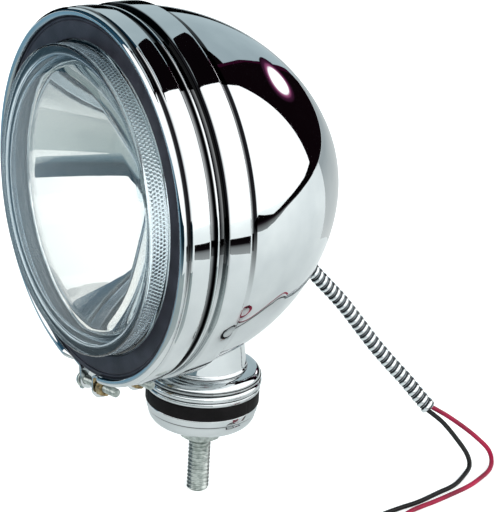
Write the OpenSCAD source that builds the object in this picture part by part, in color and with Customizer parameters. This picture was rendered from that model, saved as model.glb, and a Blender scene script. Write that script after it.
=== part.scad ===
// Auxiliary driving lamp on a swivelling pedestal, in millimetres.
// The lens faces -Y and the stud points down. The origin is on the stud, at the lower face of its nut.

/* [Bowl and rim] */
// Radius of the bowl at its mouth
bowl_r = 78.4; // [74:0.2:84]
// Radius of the long arc that the side of the bowl follows
bowl_arc = 98.4; // [94:0.2:104]
// Slope of the bowl where it leaves the mouth
mouth_slope = 6.5; // [4:0.5:10]
// Slope of the bowl where the nose cap begins
nose_slope = 60.7; // [54:0.1:66]
// Depth from the rim's lip back to the mouth of the bowl
mouth_depth = 32.4; // [30:0.2:36]
// Thickness of the pressed sheet
sheet = 1; // [0.8:0.1:1.2]
// Width of each crowned band
band_w = 11.6; // [10:0.2:13]
// How far a band stands out from the collar that it clamps
band_rise = 1.8; // [1.4:0.1:2.4]
// Crown in the middle of a band
band_crown = 0.3; // [0.1:0.1:0.6]
// Depth of the rear edge of the front rim
rim_rear = 11.8; // [11.6:0.2:13]
// Height of the raised bead between the two bands
bead_h = 1.2; // [0.8:0.1:1.6]

/* [Clamps] */
// Gap between the two ears of a clamp
ear_gap = 9.7; // [8:0.1:13]
// Width of an ear
ear_w = 9.8; // [9:0.1:11]
// How far an ear hangs below the collar
ear_drop = 12.5; // [11:0.1:15]
// Radius at the corners of an ear
ear_corner = 4.5; // [3:0.1:4.7]
// Diameter of the clamp screws
screw_d = 4; // [3:0.1:5]
// Length that a clamp screw shows past its ear
screw_past = 12; // [9:0.5:16]
// Lean of the clamp screws, backward and up
screw_lean = 6; // [0:0.5:7]

/* [Lens and lamp] */
// Radius of the glass at its front edge
lens_r = 66.2; // [62:0.1:68]
// How far the edge of the glass stands in front of the front plane
lens_proud = 8.3; // [4:0.1:9]
// Rise of the front of the glass from its edge to its middle
lens_crown = 5; // [3:0.5:8]
// Thickness of the glass
lens_wall = 3.3; // [2.5:0.1:4]
// Number of flutes round the glass
flutes = 180; // [90:1:200]
// Gap between the foot of the glass and the rubber ring that shows round it
glass_gap = 0.4; // [0.4:0.1:3.8]
// Radius of the open edge of the reflector
reflector_r = 62.7; // [58:0.1:63]
// Focal length of the reflector
focus = 16.6; // [15:0.1:20]
// Radius of the lamp hole in the reflector
lamp_hole_r = 11; // [9:0.5:13]

/* [Pedestal] */
// Distance of the stud behind the front plane, where the lip meets the band
stud_back = 61.6; // [58:0.2:66]
// Diameter of the stud
stud_d = 10; // [8:1:12]
// Length of the stud below its nut
stud_len = 27; // [20:1:45]
// Depth at which the threads of the stud and of its nut meet
thread_step = 0.4; // [0.2:0.05:0.5]
// Width of the nut across its flats
nut_af = 17; // [15:1:19]
// Height of the nut
nut_h = 5; // [4:0.5:8]
// Height of the lock washer
lock_h = 2.3; // [1.5:0.1:3]
// Radius of the lower cup
cup_r = 25; // [23:0.5:28]
// Height of the lower cup
cup_h = 11; // [9:0.5:16]
// Height of the rubber ring
rubber_h = 6.5; // [4:0.5:10]
// How far the rubber ring stands out past the cup
rubber_past = 0.6; // [0.2:0.1:1]
// Height of the thrust washer
thrust_h = 1.9; // [1:0.1:3]
// Height of the swivel ring
ring_h = 4; // [3:0.5:7]
// Height of the domed flange
dome_h = 4.5; // [3:0.5:8]
// Radius of the neck at its foot
neck_foot_r = 19.6; // [18:0.2:22]
// Radius of the neck at its top
neck_top_r = 16.8; // [15:0.2:19]
// Height of the neck along the stud, up to its saddle
neck_h = 17.1; // [14:0.1:26]

/* [Conduit and leads] */
// Angle round the bowl from the bottom of its arc to the conduit
exit_angle = 55; // [50:1:58]
// Outer diameter of the ribbed conduit
conduit_d = 7.3; // [6:0.1:8]
// Bore of the ribbed conduit
conduit_bore = 5.2; // [5:0.1:5.6]
// Distance from rib to rib
rib_pitch = 3.6; // [3:0.1:5]
// Depth of the groove between two ribs
rib_depth = 0.6; // [0.3:0.1:0.7]
// Diameter of each lead
wire_d = 2.2; // [1.8:0.1:2.2]
// Diameter of a coil at the middle of its turns
coil_d = 24; // [22:0.5:26]
// Turns in each coil
coil_turns = 2; // [1:1:4]
// Rise of a coil in one turn
coil_rise = 2.9; // [2.8:0.1:3.6]

/* [Hidden] */

$fn = 96;

// Clearances
// Between two pieces that move on each other
move_gap = 0.3;
// Between the stud and the bores that turn on it
bore_gap = 0.06;
// Between two pieces of the lamp that are clamped together
seat_gap = 0.05;
// Between a screw and its clearance hole
hole_gap = 0.25;

// Heights of the pedestal, from the nut up
lock_z = nut_h;
cup_z = lock_z + lock_h;
rubber_z = cup_z + cup_h;
thrust_z = rubber_z + rubber_h + move_gap;
ring_z = thrust_z + thrust_h;
dome_z = ring_z + ring_h;
neck_z = dome_z + dome_h;
seat_z = neck_z + neck_h;
bore_r = stud_d / 2 + bore_gap;

// Arc of the bowl: its middle lies behind the front plane, across the lens axis, and the head tilts about it
arc_back = mouth_depth - bowl_arc * sin(mouth_slope);
arc_drop = bowl_r - bowl_arc * cos(mouth_slope);
seat_angle = asin((stud_back - arc_back) / bowl_arc);
tilt_y = arc_back - stud_back;
tilt_z = seat_z + (bowl_arc + move_gap) * cos(seat_angle);
axis_z = tilt_z + arc_drop;
nose_end_r = arc_drop + bowl_arc * cos(nose_slope);
nose_r = nose_end_r / cos(nose_slope);
nose_back = arc_back + bowl_arc * sin(nose_slope) - nose_r * sin(nose_slope);

// Curve of the bowl across its arc at the saddle
cross_r = (arc_drop + bowl_arc * cos(seat_angle)) / cos(seat_angle);

// Travel of the head, and the slot in the bowl that it needs
tilt_up = 10;
tilt_down = 3;
slot_w = stud_d + 2 * move_gap;
slot_side = asin((slot_w / 2 + sheet * sin(seat_angle)) / cos(seat_angle) / bowl_arc);

// Stack inside the rim, as depths behind the front plane
lip_r = 1.9;
gasket_front = 0.3;
gasket_leg = 1.5;
flange_front = gasket_front + gasket_leg + seat_gap;
flange_h = 3.9;
leg_front = flange_front + flange_h + seat_gap;
back_leg = 1.1;
reflector_back = leg_front + back_leg + seat_gap;
reflector_wall = 0.7;
collar_front = reflector_back + reflector_wall + seat_gap;
collar_r = bowl_r + 0.1;
bead_depth = 15.4;
bead_half = 1.1;
shoulder_front = 19;
shoulder_rear = shoulder_front + band_w + 0.3;
rim_out_r = collar_r + band_rise;
rim_in_r = rim_out_r - sheet;
gasket_out_r = rim_in_r - 0.3;
lens_flange_r = gasket_out_r - 2;
glass_foot_r = lens_r + 0.5;
gasket_in_r = glass_foot_r + glass_gap;

// Ears
ear_front = [1.8, shoulder_front + 0.1];
ear_bottom = collar_r + ear_drop;
ear_out = ear_gap / 2 + sheet;
screw_r = ear_bottom - 4.8;
screw_back = 3.6;
screw_head_h = 2.6;
screw_nut_af = 1.75 * screw_d;
screw_nut_h = 0.8 * screw_d;
screw_nut_out = ear_out + screw_nut_af * tan(screw_lean * 1.42) / 1.7 + 0.1;

// Reflector and bulb, as depths behind the front plane
edge_depth = 6.5;
apex_depth = edge_depth + reflector_r * reflector_r / (4 * focus);
hole_depth = apex_depth - lamp_hole_r * lamp_hole_r / (4 * focus);
neck_depth = hole_depth + 4;
filament_depth = apex_depth - focus;
bulb_r = 6;
bulb_front = filament_depth - 8;
bulb_back = bulb_front + 20;

// Place and direction where the conduit leaves the bowl
exit_dir = [0, sin(exit_angle), -cos(exit_angle)];
exit_point = [0, tilt_y, tilt_z] + bowl_arc * exit_dir;
grommet_neck_r = conduit_d / 2 + 0.95;
conduit_in = 4.6;

// Level that the loose leads lie on, which is the level of the stud's end
floor_z = -stud_len;
wire_z = floor_z + wire_d / 2;

// Route of the conduit: square out of the bowl, then a loose fall
conduit_route = [
    exit_point - conduit_in * exit_dir, exit_point + 1.5 * exit_dir, exit_point + 6 * exit_dir,
    [0.3, 56.5, 69.6], [1.2, 71.4, 53.7], [2.8, 80.9, 41.7], [5, 89.7, 30],
    [8, 98.4, 19.3], [11.4, 105.8, 10.5], [14.8, 112, 2.2], [17.5, 116.2, -3.2]
];
// Routes of the two leads from the mouth of the conduit to their coils
black_route = [
    [17.6, 115.8, -4.6], [24.7, 120, -9], [33.3, 122.8, -15], [39.4, 124.3, -20], [43.5, 123, -23.8],
    [47.5, 117, -25.5], [53, 107, wire_z], [56, 95, wire_z], [59, 82, wire_z], [60, 71, wire_z],
    [61.4, 61, wire_z], [64, 51, wire_z], [65.9, 44, wire_z], [66.2, 40, wire_z]
];
red_route = [
    [18, 117.5, -3], [21, 125, -8], [26.6, 132, -13.5], [31.6, 136.7, -18], [37, 139.2, -21.5],
    [42.5, 137.2, -24.2], [48, 131.5, -25.7], [53, 122, wire_z], [57, 112, wire_z], [60, 99, wire_z],
    [62, 89, wire_z], [63, 82, wire_z], [64.6, 74, wire_z], [68.4, 65.5, wire_z], [75, 59.3, wire_z],
    [84, 57.1, wire_z], [91, 56.9, wire_z]
];
// Routes of the two leads inside the bowl
live_route = [
    [0, 16.4, 123.3], [0, 21, 122.4], [-0.8, 26, 115], [-1.2, 26.4, 104], [-1.25, 29.3, 94],
    [-1.25, 36.9, 88.6], [-1.25, 43.5, 84]
];
earth_route = [
    [11, 10.4, 123.3], [11, 15, 121.5], [8, 20.5, 113], [3.2, 24.8, 103], [1.25, 29.7, 93.6],
    [1.25, 36.9, 88.6], [1.25, 43.5, 84]
];
// Coils: middle, angle where the lead comes in, and the place in their turns of the tie
black_coil_at = [78.2, 36.9];
red_coil_at = [94.2, 68.9];
black_coil_in = 180;
red_coil_in = 270;
coil_lead = 3;
coil_tail = 9;
tie_turn = 140;
ring_steps = 24;

// Numbers of rings and sides
wire_ring = 5.4;
wire_sides = 8;
coil_sides = 6;

// Geometry helpers
// Points of an arc in a profile, from one angle to the next
function arc(mid, r, from, to, steps) =
    [for (i = [0:steps]) let (a = from + (to - from) * i / steps) mid + r * [cos(a), sin(a)]];

function unit(v) = v / norm(v);

function tangent(points, i) =
    let (last = len(points) - 1)
    unit(points[min(i + 1, last)] - points[max(i - 1, 0)]);

// A profile and the same profile moved inward by its wall, as one closed outline round an axis at x = 0
function pressed(path, wall) =
    concat(path, [
        for (k = [len(path) - 1:-1:0])
            let (t = tangent(path, k), p = path[k] + wall * [-t[1], t[0]])
            [path[k][0] < 0.01 ? 0 : max(p[0], 0), p[1]]
    ]);

// Smooth curve through chosen points
function curve(points, steps) =
    concat([
        for (k = [0:len(points) - 2], j = [0:steps - 1])
            let (
                u = j / steps,
                a = points[max(k - 1, 0)],
                b = points[k],
                c = points[k + 1],
                d = points[min(k + 2, len(points) - 1)]
            )
            0.5 * (2 * b + (c - a) * u + (2 * a - 5 * b + 4 * c - d) * u * u
                + (3 * b - a - 3 * c + d) * u * u * u)
    ], [points[len(points) - 1]]);

// Running length at each point of a curve
function lengths(points) =
    [for (i = 0, s = 0; i < len(points); i = i + 1,
        s = i < len(points) ? s + norm(points[i] - points[i - 1]) : s) s];

// The same curve with its points at even distances
function even(points, count) =
    let (
        s = lengths(points),
        whole = s[len(s) - 1],
        x = [for (i = [0:len(s) - 1]) [s[i], points[i][0]]],
        y = [for (i = [0:len(s) - 1]) [s[i], points[i][1]]],
        z = [for (i = [0:len(s) - 1]) [s[i], points[i][2]]]
    )
    [for (i = [0:count]) let (at = whole * i / count) [lookup(at, x), lookup(at, y), lookup(at, z)]];

// A side direction at each point, carried along the curve without twist
function sides_of(points) =
    let (t0 = tangent(points, 0), up = abs(t0[2]) < 0.9 ? [0, 0, 1] : [1, 0, 0])
    [for (i = 0, u = unit(cross(t0, up)); i < len(points); i = i + 1,
        u = i < len(points)
            ? let (t = tangent(points, i)) unit(u - (u * t) * t)
            : u) u];

// Vertices of the rings round a curve
function rings(points, radii, sides) =
    let (u = sides_of(points))
    [for (i = [0:len(points) - 1], j = [0:sides - 1])
        let (v = cross(tangent(points, i), u[i]), a = 360 * j / sides)
        points[i] + radii[i] * (cos(a) * u[i] + sin(a) * v)];

// Triangles between rings that follow each other
function skin(from, count, sides, inward) =
    [for (i = [0:count - 2], j = [0:sides - 1], half = [0, 1])
        let (
            a = from + i * sides + j,
            b = from + i * sides + (j + 1) % sides,
            c = a + sides,
            d = b + sides,
            face = half == 0 ? [a, c, b] : [b, c, d]
        )
        inward ? [face[0], face[2], face[1]] : face];

function disc(from, sides, inward) =
    [for (j = [1:sides - 2]) inward ? [from, from + j + 1, from + j] : [from, from + j, from + j + 1]];

// Least gap of a wound tube to itself, measured on its points, leaving out neighbours along the tube
function own_gap(points, d, skip) =
    min([for (i = [0:len(points) - 1], j = [i + skip:1:len(points) - 1]) norm(points[i] - points[j])]) - d;

// Points of a coil: a straight lead-in, the turns, and a straight tail
function coil_points(at, from) =
    let (
        r = coil_d / 2,
        steps = coil_turns * ring_steps,
        turn = [
            for (k = [0:steps])
                let (a = from + 360 * k / ring_steps)
                [at[0] + r * cos(a), at[1] + r * sin(a), wire_z + coil_rise * k / ring_steps]
        ],
        along = [-sin(from), cos(from), 0]
    )
    concat([turn[0] - coil_lead * along], turn,
        [turn[steps] + coil_tail / 2 * along, turn[steps] + coil_tail * along]);

// A round lead along a route
module lead(points, d, sides) {
    polyhedron(
        points = rings(points, [for (p = points) d / 2], sides),
        faces = concat(
            skin(0, len(points), sides, false),
            disc(0, sides, false),
            disc((len(points) - 1) * sides, sides, true)
        )
    );
}

module routed_lead(route) {
    dense = curve(route, 8);
    s = lengths(dense);
    lead(even(dense, round(s[len(s) - 1] / wire_ring)), wire_d, wire_sides);
}

// Moves a shape of the head into place: its axis z runs back from the front plane, and its y points down
module head() {
    translate([0, -stud_back, axis_z]) rotate([-90, 0, 0]) children();
}

// A pressed sheet turned round the lens axis
module spun(path, wall) {
    rotate_extrude($fn = 180) polygon(pressed(path, wall));
}

// Solid round the tilt axis that follows the curve of the bowl at a given radius
module barrel(r) {
    across = cross_r + r - bowl_arc;
    translate([0, tilt_y, tilt_z]) rotate([0, 90, 0]) rotate_extrude($fn = 180)
        intersection() {
            translate([r - across, 0]) circle(r = across);
            translate([0, -60]) square([r + 1, 120]);
        }
}

// Profile of a crowned band with curled edges, from its front edge to its rear edge
function band_path(front, rear, in_r, out_r) =
    let (curl = 1.2, mid = (front + rear) / 2, half = (rear - front) / 2 - curl)
    concat(
        [[in_r, front]],
        arc([out_r - curl, front + curl], curl, -90, -20, 4),
        [for (k = [-4:4]) [out_r + band_crown * (1 - k * k / 16), mid + half * k / 4]],
        arc([out_r - curl, rear - curl], curl, 20, 90, 4),
        [[in_r, rear]]
    );

// One ear of a clamp, with its screw hole, standing on the collar
module ear(front, side) {
    near = side > 0 ? ear_gap / 2 : -ear_out;
    low = ear_bottom - ear_corner;
    top = rim_in_r - 0.05;
    mid = near + sheet / 2;
    difference() {
        translate([near, 0, 0]) rotate([90, 0, 90]) linear_extrude(sheet) {
            translate([top, front]) square([low - top, ear_w]);
            translate([low, front + ear_corner]) circle(r = ear_corner);
            translate([low, front + ear_w - ear_corner]) circle(r = ear_corner);
            translate([low - 0.01, front + ear_corner]) square([ear_corner + 0.01, ear_w - 2 * ear_corner]);
        }
        clamp_line(front) rotate([0, 90, 0])
            translate([0, 0, mid - 3]) cylinder(r = screw_d / 2 + hole_gap, h = 6);
    }
}

// Places a shape on the line of a clamp screw: its x runs along the screw
module clamp_line(front) {
    translate([0, screw_r, front + screw_back])
        rotate([0, -screw_lean, 0]) rotate([0, 0, -screw_lean]) children();
}

// The gap that parts a band between its ears
module split(front, rear) {
    translate([-ear_gap / 2, collar_r - 6, front]) cube([ear_gap, ear_drop + 6, rear - front]);
}

// Places a shape at the conduit's way out, with its axis z pointing out of the bowl
module at_exit() {
    translate(exit_point) rotate([exit_angle - 180, 0, 0]) children();
}

module mounting_bolt() {
    head_h = 6.4;
    head_bevel = 1.66;
    bevel_r = nut_af / 2 - 0.3;
    top = saddle_top() + move_gap;
    point = 0.8;
    color("silver") union() {
        translate([0, 0, floor_z]) cylinder(d1 = stud_d - 2 * point, d2 = stud_d, h = point);
        translate([0, 0, floor_z + point]) cylinder(d = stud_d, h = -floor_z - point);
        translate([0, 0, -0.1]) cylinder(r = stud_d / 2 - thread_step, h = nut_h + 0.2);
        translate([0, 0, nut_h]) cylinder(d = stud_d, h = top - nut_h + 0.1);
        intersection() {
            translate([0, 0, top]) cylinder(d = nut_af / cos(30), h = head_h, $fn = 6);
            translate([0, 0, top - 0.1])
                cylinder(r1 = bevel_r + head_bevel * (head_h + 0.1), r2 = bevel_r, h = head_h + 0.1);
        }
    }
}

module hex_nut() {
    corner = 26.6;
    color("gainsboro") difference() {
        intersection() {
            rotate([0, 0, corner]) cylinder(d = nut_af / cos(30), h = nut_h, $fn = 6);
            translate([0, 0, -0.01])
                cylinder(r1 = nut_af / 2, r2 = nut_af / 2 + nut_h * 1.6, h = nut_h + 0.02);
        }
        translate([0, 0, -1]) cylinder(r = stud_d / 2 - thread_step + seat_gap, h = nut_h + 2);
        translate([0, 0, -0.01])
            cylinder(r1 = stud_d / 2 + 0.6, r2 = stud_d / 2 - thread_step, h = 0.61 + thread_step);
    }
}

module lock_washer() {
    color("silver") translate([0, 0, lock_z]) difference() {
        cylinder(r = nut_af / 2 + 0.6, h = lock_h);
        translate([0, 0, -1]) cylinder(r = stud_d / 2 + 0.2, h = lock_h + 2);
        rotate([0, 0, 120]) translate([0, -0.6, -1]) cube([nut_af, 1.2, lock_h + 2]);
    }
}

module lower_cup() {
    foot_r = 14;
    corner = 5;
    color("lightsteelblue") translate([0, 0, cup_z]) rotate_extrude() polygon(concat(
        [[bore_r, 0], [foot_r, 0]],
        arc([cup_r - 0.8 - corner, 0.7 + corner], corner, -70, 0, 8),
        [[cup_r - 0.8, cup_h - 2.6], [cup_r, cup_h - 2], [cup_r, cup_h]],
        [[cup_r - 1.6, cup_h], [cup_r - 2.4, cup_h - 4], [foot_r, 2], [9.5, 2], [9.5, cup_h], [bore_r, cup_h]]
    ));
}

module rubber_ring() {
    r = cup_r + rubber_past;
    soft = 0.5;
    color("#26262a") translate([0, 0, rubber_z]) rotate_extrude() polygon(concat(
        [[stud_d / 2 + 0.4, 0]],
        arc([r - soft, soft], soft, -90, 0, 3),
        arc([r - soft, rubber_h - soft], soft, 0, 90, 3),
        [[stud_d / 2 + 0.4, rubber_h]]
    ));
}

module thrust_washer() {
    r = cup_r + rubber_past + 0.2;
    color("white") translate([0, 0, thrust_z]) rotate_extrude() polygon([
        [bore_r, 0], [r - 0.7, 0], [r, 0.5], [r, 0.9], [r - 0.6, thrust_h], [bore_r, thrust_h]
    ]);
}

module swivel_ring() {
    r = cup_r + rubber_past + 0.7;
    round = ring_h / 2 - 0.2;
    color("lightgray") translate([0, 0, ring_z]) rotate_extrude() polygon(concat(
        [[bore_r, 0], [r - round, 0]],
        arc([r - round, round], round, -90, 90, 12),
        [[r - 1.1, ring_h - 0.2], [r - 1.1, ring_h], [bore_r, ring_h]]
    ));
}

// Edge of the flange, then a sheet that domes up to the foot of the neck
module pedestal_flange() {
    r = cup_r + rubber_past + 0.4;
    foot = neck_foot_r + 0.6;
    color("slategray") translate([0, 0, dome_z]) rotate_extrude() polygon(concat(
        [[bore_r, 0], [r - 0.3, 0], [r, 0.3], [r, 0.8]],
        [for (k = [0:8]) let (a = 90 * k / 8)
            [foot + (r - 0.4 - foot) * cos(a), 1.1 + (dome_h - 1.1) * sin(a)]],
        [[bore_r, dome_h]]
    ));
}

module pedestal_neck() {
    foot_h = 1.2;
    tall = neck_h + neck_top_r;
    color("lightsteelblue") difference() {
        translate([0, 0, neck_z]) rotate_extrude() polygon([
            [bore_r, 0], [neck_foot_r, 0], [neck_foot_r, 0.4], [neck_foot_r - 0.6, foot_h],
            [neck_top_r, neck_h], [neck_top_r, tall], [bore_r, tall]
        ]);
        barrel(bowl_arc + move_gap);
    }
}

function saddle_top() =
    let (r = bowl_arc - sheet - move_gap, out = 13.5, a = asin((stud_back - arc_back + out) / r))
    tilt_z - r * cos(a) + 1.5;

module saddle_washer() {
    out = 13.5;
    color("silver") difference() {
        intersection() {
            translate([0, 0, neck_z]) cylinder(r = out, h = saddle_top() - neck_z);
            barrel(bowl_arc - sheet - move_gap);
        }
        translate([0, 0, neck_z - 1]) cylinder(r = bore_r, h = saddle_top() - neck_z + 2);
    }
}

// Outer profile of the bowl from its inward flange, over its collar and bead, to its nose
function bowl_path() =
    let (
        flange_in = 73.5,
        corner = 1.2,
        steps = 22
    )
    concat(
        [[flange_in, collar_front], [76, collar_front]],
        arc([collar_r - corner, collar_front + corner], corner, -90, 0, 4),
        [[collar_r, bead_depth - bead_half]],
        [for (k = [-3:3]) [collar_r + bead_h * cos(30 * k), bead_depth + 0.8 * bead_half * k / 3]],
        [[collar_r, bead_depth + bead_half], [collar_r, mouth_depth - 0.4]],
        [for (k = [0:steps]) let (a = mouth_slope + (nose_slope - mouth_slope) * k / steps)
            [arc_drop + bowl_arc * cos(a), arc_back + bowl_arc * sin(a)]],
        [for (k = [1:12]) let (a = nose_slope + (90 - nose_slope) * k / 12)
            [nose_r * cos(a), nose_back + nose_r * sin(a)]]
    );

// Slot in the bowl that lets the head tilt past the bolt
module tilt_slot() {
    back = seat_angle + tilt_up + slot_side;
    front = seat_angle - tilt_down - slot_side;
    translate([0, tilt_y, tilt_z]) rotate([0, 90, 0]) {
        rotate([0, 0, front]) rotate_extrude(angle = back - front, $fn = 180)
            translate([bowl_arc - 6, -slot_w / 2]) square([12, slot_w]);
    }
}

module bowl_shell() {
    color("lightsteelblue") difference() {
        head() spun(bowl_path(), sheet);
        tilt_slot();
        at_exit() translate([0, 0, -5]) cylinder(r = grommet_neck_r, h = 10);
    }
}

module shoulder_band() {
    path = band_path(shoulder_front, shoulder_rear, collar_r + 0.1, rim_out_r);
    color("silver") head() {
        difference() {
            spun(path, sheet);
            split(shoulder_front - 1, shoulder_rear + 1);
        }
        ear(ear_front[1], -1);
        ear(ear_front[1], 1);
    }
}

module front_rim() {
    curl = 1.2;
    mid = (2.2 + rim_rear - curl) / 2;
    half = (rim_rear - curl - 2.2) / 2;
    path = concat(
        arc([rim_out_r - lip_r, gasket_front - 0.2], lip_r, -180, -10, 9),
        [for (k = [-3:4]) [rim_out_r + band_crown * (1 - k * k / 16), mid + half * k / 4]],
        arc([rim_out_r - curl, rim_rear - curl], curl, 20, 90, 4),
        [[collar_r + 0.1, rim_rear]]
    );
    color("silver") head() {
        difference() {
            spun(path, sheet);
            split(-1, rim_rear + 1);
        }
        ear(ear_front[0], -1);
        ear(ear_front[0], 1);
    }
}

module clamp_screw(front) {
    clamp_line(front) rotate([0, 90, 0]) {
        translate([0, 0, -ear_out - 0.7]) cylinder(d = screw_d, h = 2 * ear_out + 0.7 + screw_past);
        difference() {
            translate([0, 0, -ear_out - 0.7 - screw_head_h])
                cylinder(r1 = 0.78 * screw_d, r2 = 0.96 * screw_d, h = screw_head_h);
            translate([-0.5, -screw_d, -ear_out - 0.8 - screw_head_h]) cube([1, 2 * screw_d, 1.3]);
        }
    }
}

module clamp_screws() {
    color("gainsboro") head() for (front = ear_front) clamp_screw(front);
}

module clamp_nuts() {
    color("goldenrod") head() for (front = ear_front)
        clamp_line(front) rotate([0, 90, 0]) translate([0, 0, screw_nut_out]) difference() {
            cylinder(d = screw_nut_af / cos(30), h = screw_nut_h, $fn = 6);
            translate([0, 0, -1]) cylinder(r = screw_d / 2 + seat_gap, h = screw_nut_h + 2);
        }
}

// Rubber channel round the flange of the glass, with a raised outer bead
module lens_gasket() {
    bead = 0.5;
    color("#2f303a") head() rotate_extrude($fn = 180) polygon([
        [gasket_in_r, gasket_front + 0.4], [gasket_in_r + 0.4, gasket_front],
        [rim_out_r - 2 * lip_r - 1.2, gasket_front], [rim_out_r - 2 * lip_r - 1, gasket_front + bead],
        [rim_out_r - 2 * lip_r - 0.7, gasket_front + bead], [rim_out_r - 2 * lip_r - 0.5, gasket_front],
        [gasket_out_r - 0.6, gasket_front], [gasket_out_r, gasket_front + 0.6],
        [gasket_out_r, leg_front + back_leg], [70, leg_front + back_leg], [70, leg_front],
        [lens_flange_r + seat_gap, leg_front], [lens_flange_r + seat_gap, flange_front - seat_gap],
        [gasket_in_r, flange_front - seat_gap]
    ]);
}

// Radius of the sphere that the front of the glass follows
function crown_radius(r, rise) = (r * r + rise * rise) / (2 * rise);

// Domed front, a wall with flutes round it, and a flange held by the gasket
module glass_lens() {
    top_r = lens_r - 1.2;
    big = crown_radius(top_r, lens_crown);
    mid = -lens_proud - lens_crown + big;
    edge = asin(top_r / big);
    wall_r = lens_r - 0.7;
    in_r = wall_r - lens_wall;
    in_big = big - lens_wall;
    in_edge = asin((in_r - 1) / in_big);
    seat_r = reflector_r + 2.6;
    flute_top = -lens_proud + 1.4;
    flute_low = gasket_front - 0.3;
    color("lightcyan", 0.5) head() {
        rotate_extrude($fn = 180) polygon(concat(
            [for (k = [0:10]) let (a = edge * k / 10) [big * sin(a), mid - big * cos(a)]],
            arc([top_r, -lens_proud + 1.2], 1.2, -75, 0, 5),
            [[wall_r + 0.5, -lens_proud + 1.4], [wall_r, -lens_proud + 1.6], [wall_r, flute_low]],
            [[glass_foot_r, gasket_front], [glass_foot_r, flange_front], [lens_flange_r, flange_front]],
            [[lens_flange_r, flange_front + flange_h], [seat_r, flange_front + flange_h]],
            [[seat_r, edge_depth - 2], [in_r, edge_depth - 3.5], [in_r, mid - in_big * cos(in_edge) + 1]],
            [for (k = [10:-1:0]) let (a = in_edge * k / 10) [in_big * sin(a), mid - in_big * cos(a)]]
        ));
        translate([0, 0, flute_top]) linear_extrude(flute_low - flute_top) difference() {
            polygon([
                for (k = [0:2 * flutes - 1])
                    let (a = 180 * k / flutes, r = k % 2 == 0 ? lens_r : wall_r + 0.15)
                    r * [cos(a), sin(a)]
            ]);
            circle(r = wall_r - 1);
        }
    }
}

// Bright dish with a rolled edge, a flange under the gasket and a collar for the bulb
module reflector() {
    roll = 1;
    path = concat(
        [[lens_flange_r - 0.5, reflector_back], [reflector_r + 4, reflector_back]],
        arc([reflector_r + 3, reflector_back - 0.9], 0.9, 90, 180, 3),
        arc([reflector_r + roll, edge_depth], roll, 0, -180, 8),
        [for (k = [1:20]) let (r = reflector_r + (lamp_hole_r - reflector_r) * k / 20)
            [r, apex_depth - r * r / (4 * focus)]],
        [[lamp_hole_r, neck_depth]]
    );
    color("white") head() rotate_extrude($fn = 180) polygon(dish(path, reflector_wall));
}

// A profile and the same profile moved back by its wall
function dish(path, wall) =
    concat(path, [
        for (k = [len(path) - 1:-1:0])
            let (t = tangent(path, k))
            path[k] + wall * [t[1], -t[0]]
    ]);

module bulb_glass() {
    wall = 0.8;
    color("azure", 0.5) head() rotate_extrude() polygon(concat(
        [for (k = [0:8]) let (a = 90 * k / 8) [bulb_r * sin(a), bulb_front + bulb_r * (1 - cos(a))]],
        [[bulb_r, bulb_back], [bulb_r - wall, bulb_back]],
        [for (k = [8:-1:0]) let (a = 90 * k / 8)
            [(bulb_r - wall) * sin(a), bulb_front + wall + (bulb_r - wall) * (1 - cos(a))]]
    ));
}

// Straight filament across the axis on its two supports
module bulb_filament() {
    half = 3;
    wire_r = 0.3;
    stand_h = bulb_back - filament_depth;
    color("dimgray") head() translate([0, 0, filament_depth]) union() {
        translate([-half, 0, 0]) rotate([0, 90, 0]) cylinder(r = 0.6, h = 2 * half);
        for (x = [-half, half]) translate([x, 0, -0.3]) cylinder(r = wire_r, h = stand_h + 0.3);
    }
}

module bulb_base() {
    front = bulb_back - 2.5;
    flange_z = neck_depth + seat_gap;
    color("silver") head() rotate_extrude() polygon([
        [0, bulb_back + seat_gap], [bulb_r + seat_gap, bulb_back + seat_gap], [bulb_r + seat_gap, front],
        [bulb_r + 1, front], [bulb_r + 1, flange_z],
        [lamp_hole_r + 1.6, flange_z], [lamp_hole_r + 1.6, flange_z + 1], [0, flange_z + 1]
    ]);
}

// Sprung bar over the bulb's flange, with a round eye for the holder
module bulb_clip() {
    z = neck_depth + 1 + 2 * seat_gap;
    long = 2 * lamp_hole_r + 6;
    color("gainsboro") head() difference() {
        union() {
            translate([-long / 2, -2.5, z]) cube([long, 5, 0.8]);
            translate([0, 0, z]) cylinder(r = 7.5, h = 0.8);
            for (x = [-long / 2, long / 2 - 0.8]) translate([x, -2.5, z - 3]) cube([0.8, 5, 3.1]);
        }
        translate([0, 0, z - 1]) cylinder(r = 5 + seat_gap, h = 3);
    }
}

module bulb_holder() {
    z = neck_depth + 1 + 2 * seat_gap;
    color("tan") head() translate([0, 0, z]) {
        cylinder(r = 5, h = 6);
        translate([0, 0, 6]) cylinder(r1 = 3.6, r2 = 2.6, h = 2.2);
    }
}

module live_lead() {
    color("firebrick") routed_lead(live_route);
}

module earth_lead() {
    color("#222222") routed_lead(earth_route);
}

// Rubber bush that grips the sheet round the hole and the conduit inside it
module conduit_grommet() {
    lip = grommet_neck_r + 1.6;
    slack = 0.45;
    thick = 1.5;
    inner = -sheet - slack;
    color("#222222") at_exit() rotate_extrude() polygon([
        [conduit_d / 2 + seat_gap, inner - thick], [lip - 0.4, inner - thick], [lip, inner - thick + 0.4],
        [lip, inner], [grommet_neck_r - seat_gap, inner], [grommet_neck_r - seat_gap, slack],
        [lip, slack], [lip, slack + thick - 0.6], [lip - 0.6, slack + thick],
        [conduit_d / 2 + seat_gap, slack + thick]
    ]);
}

module conduit_ferrule() {
    color("silver") at_exit() translate([0, 0, -conduit_in]) difference() {
        cylinder(r = conduit_d / 2 + 1.6, h = 1.6);
        translate([0, 0, -1]) cylinder(r = conduit_d / 2 + seat_gap, h = 4);
    }
}

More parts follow.
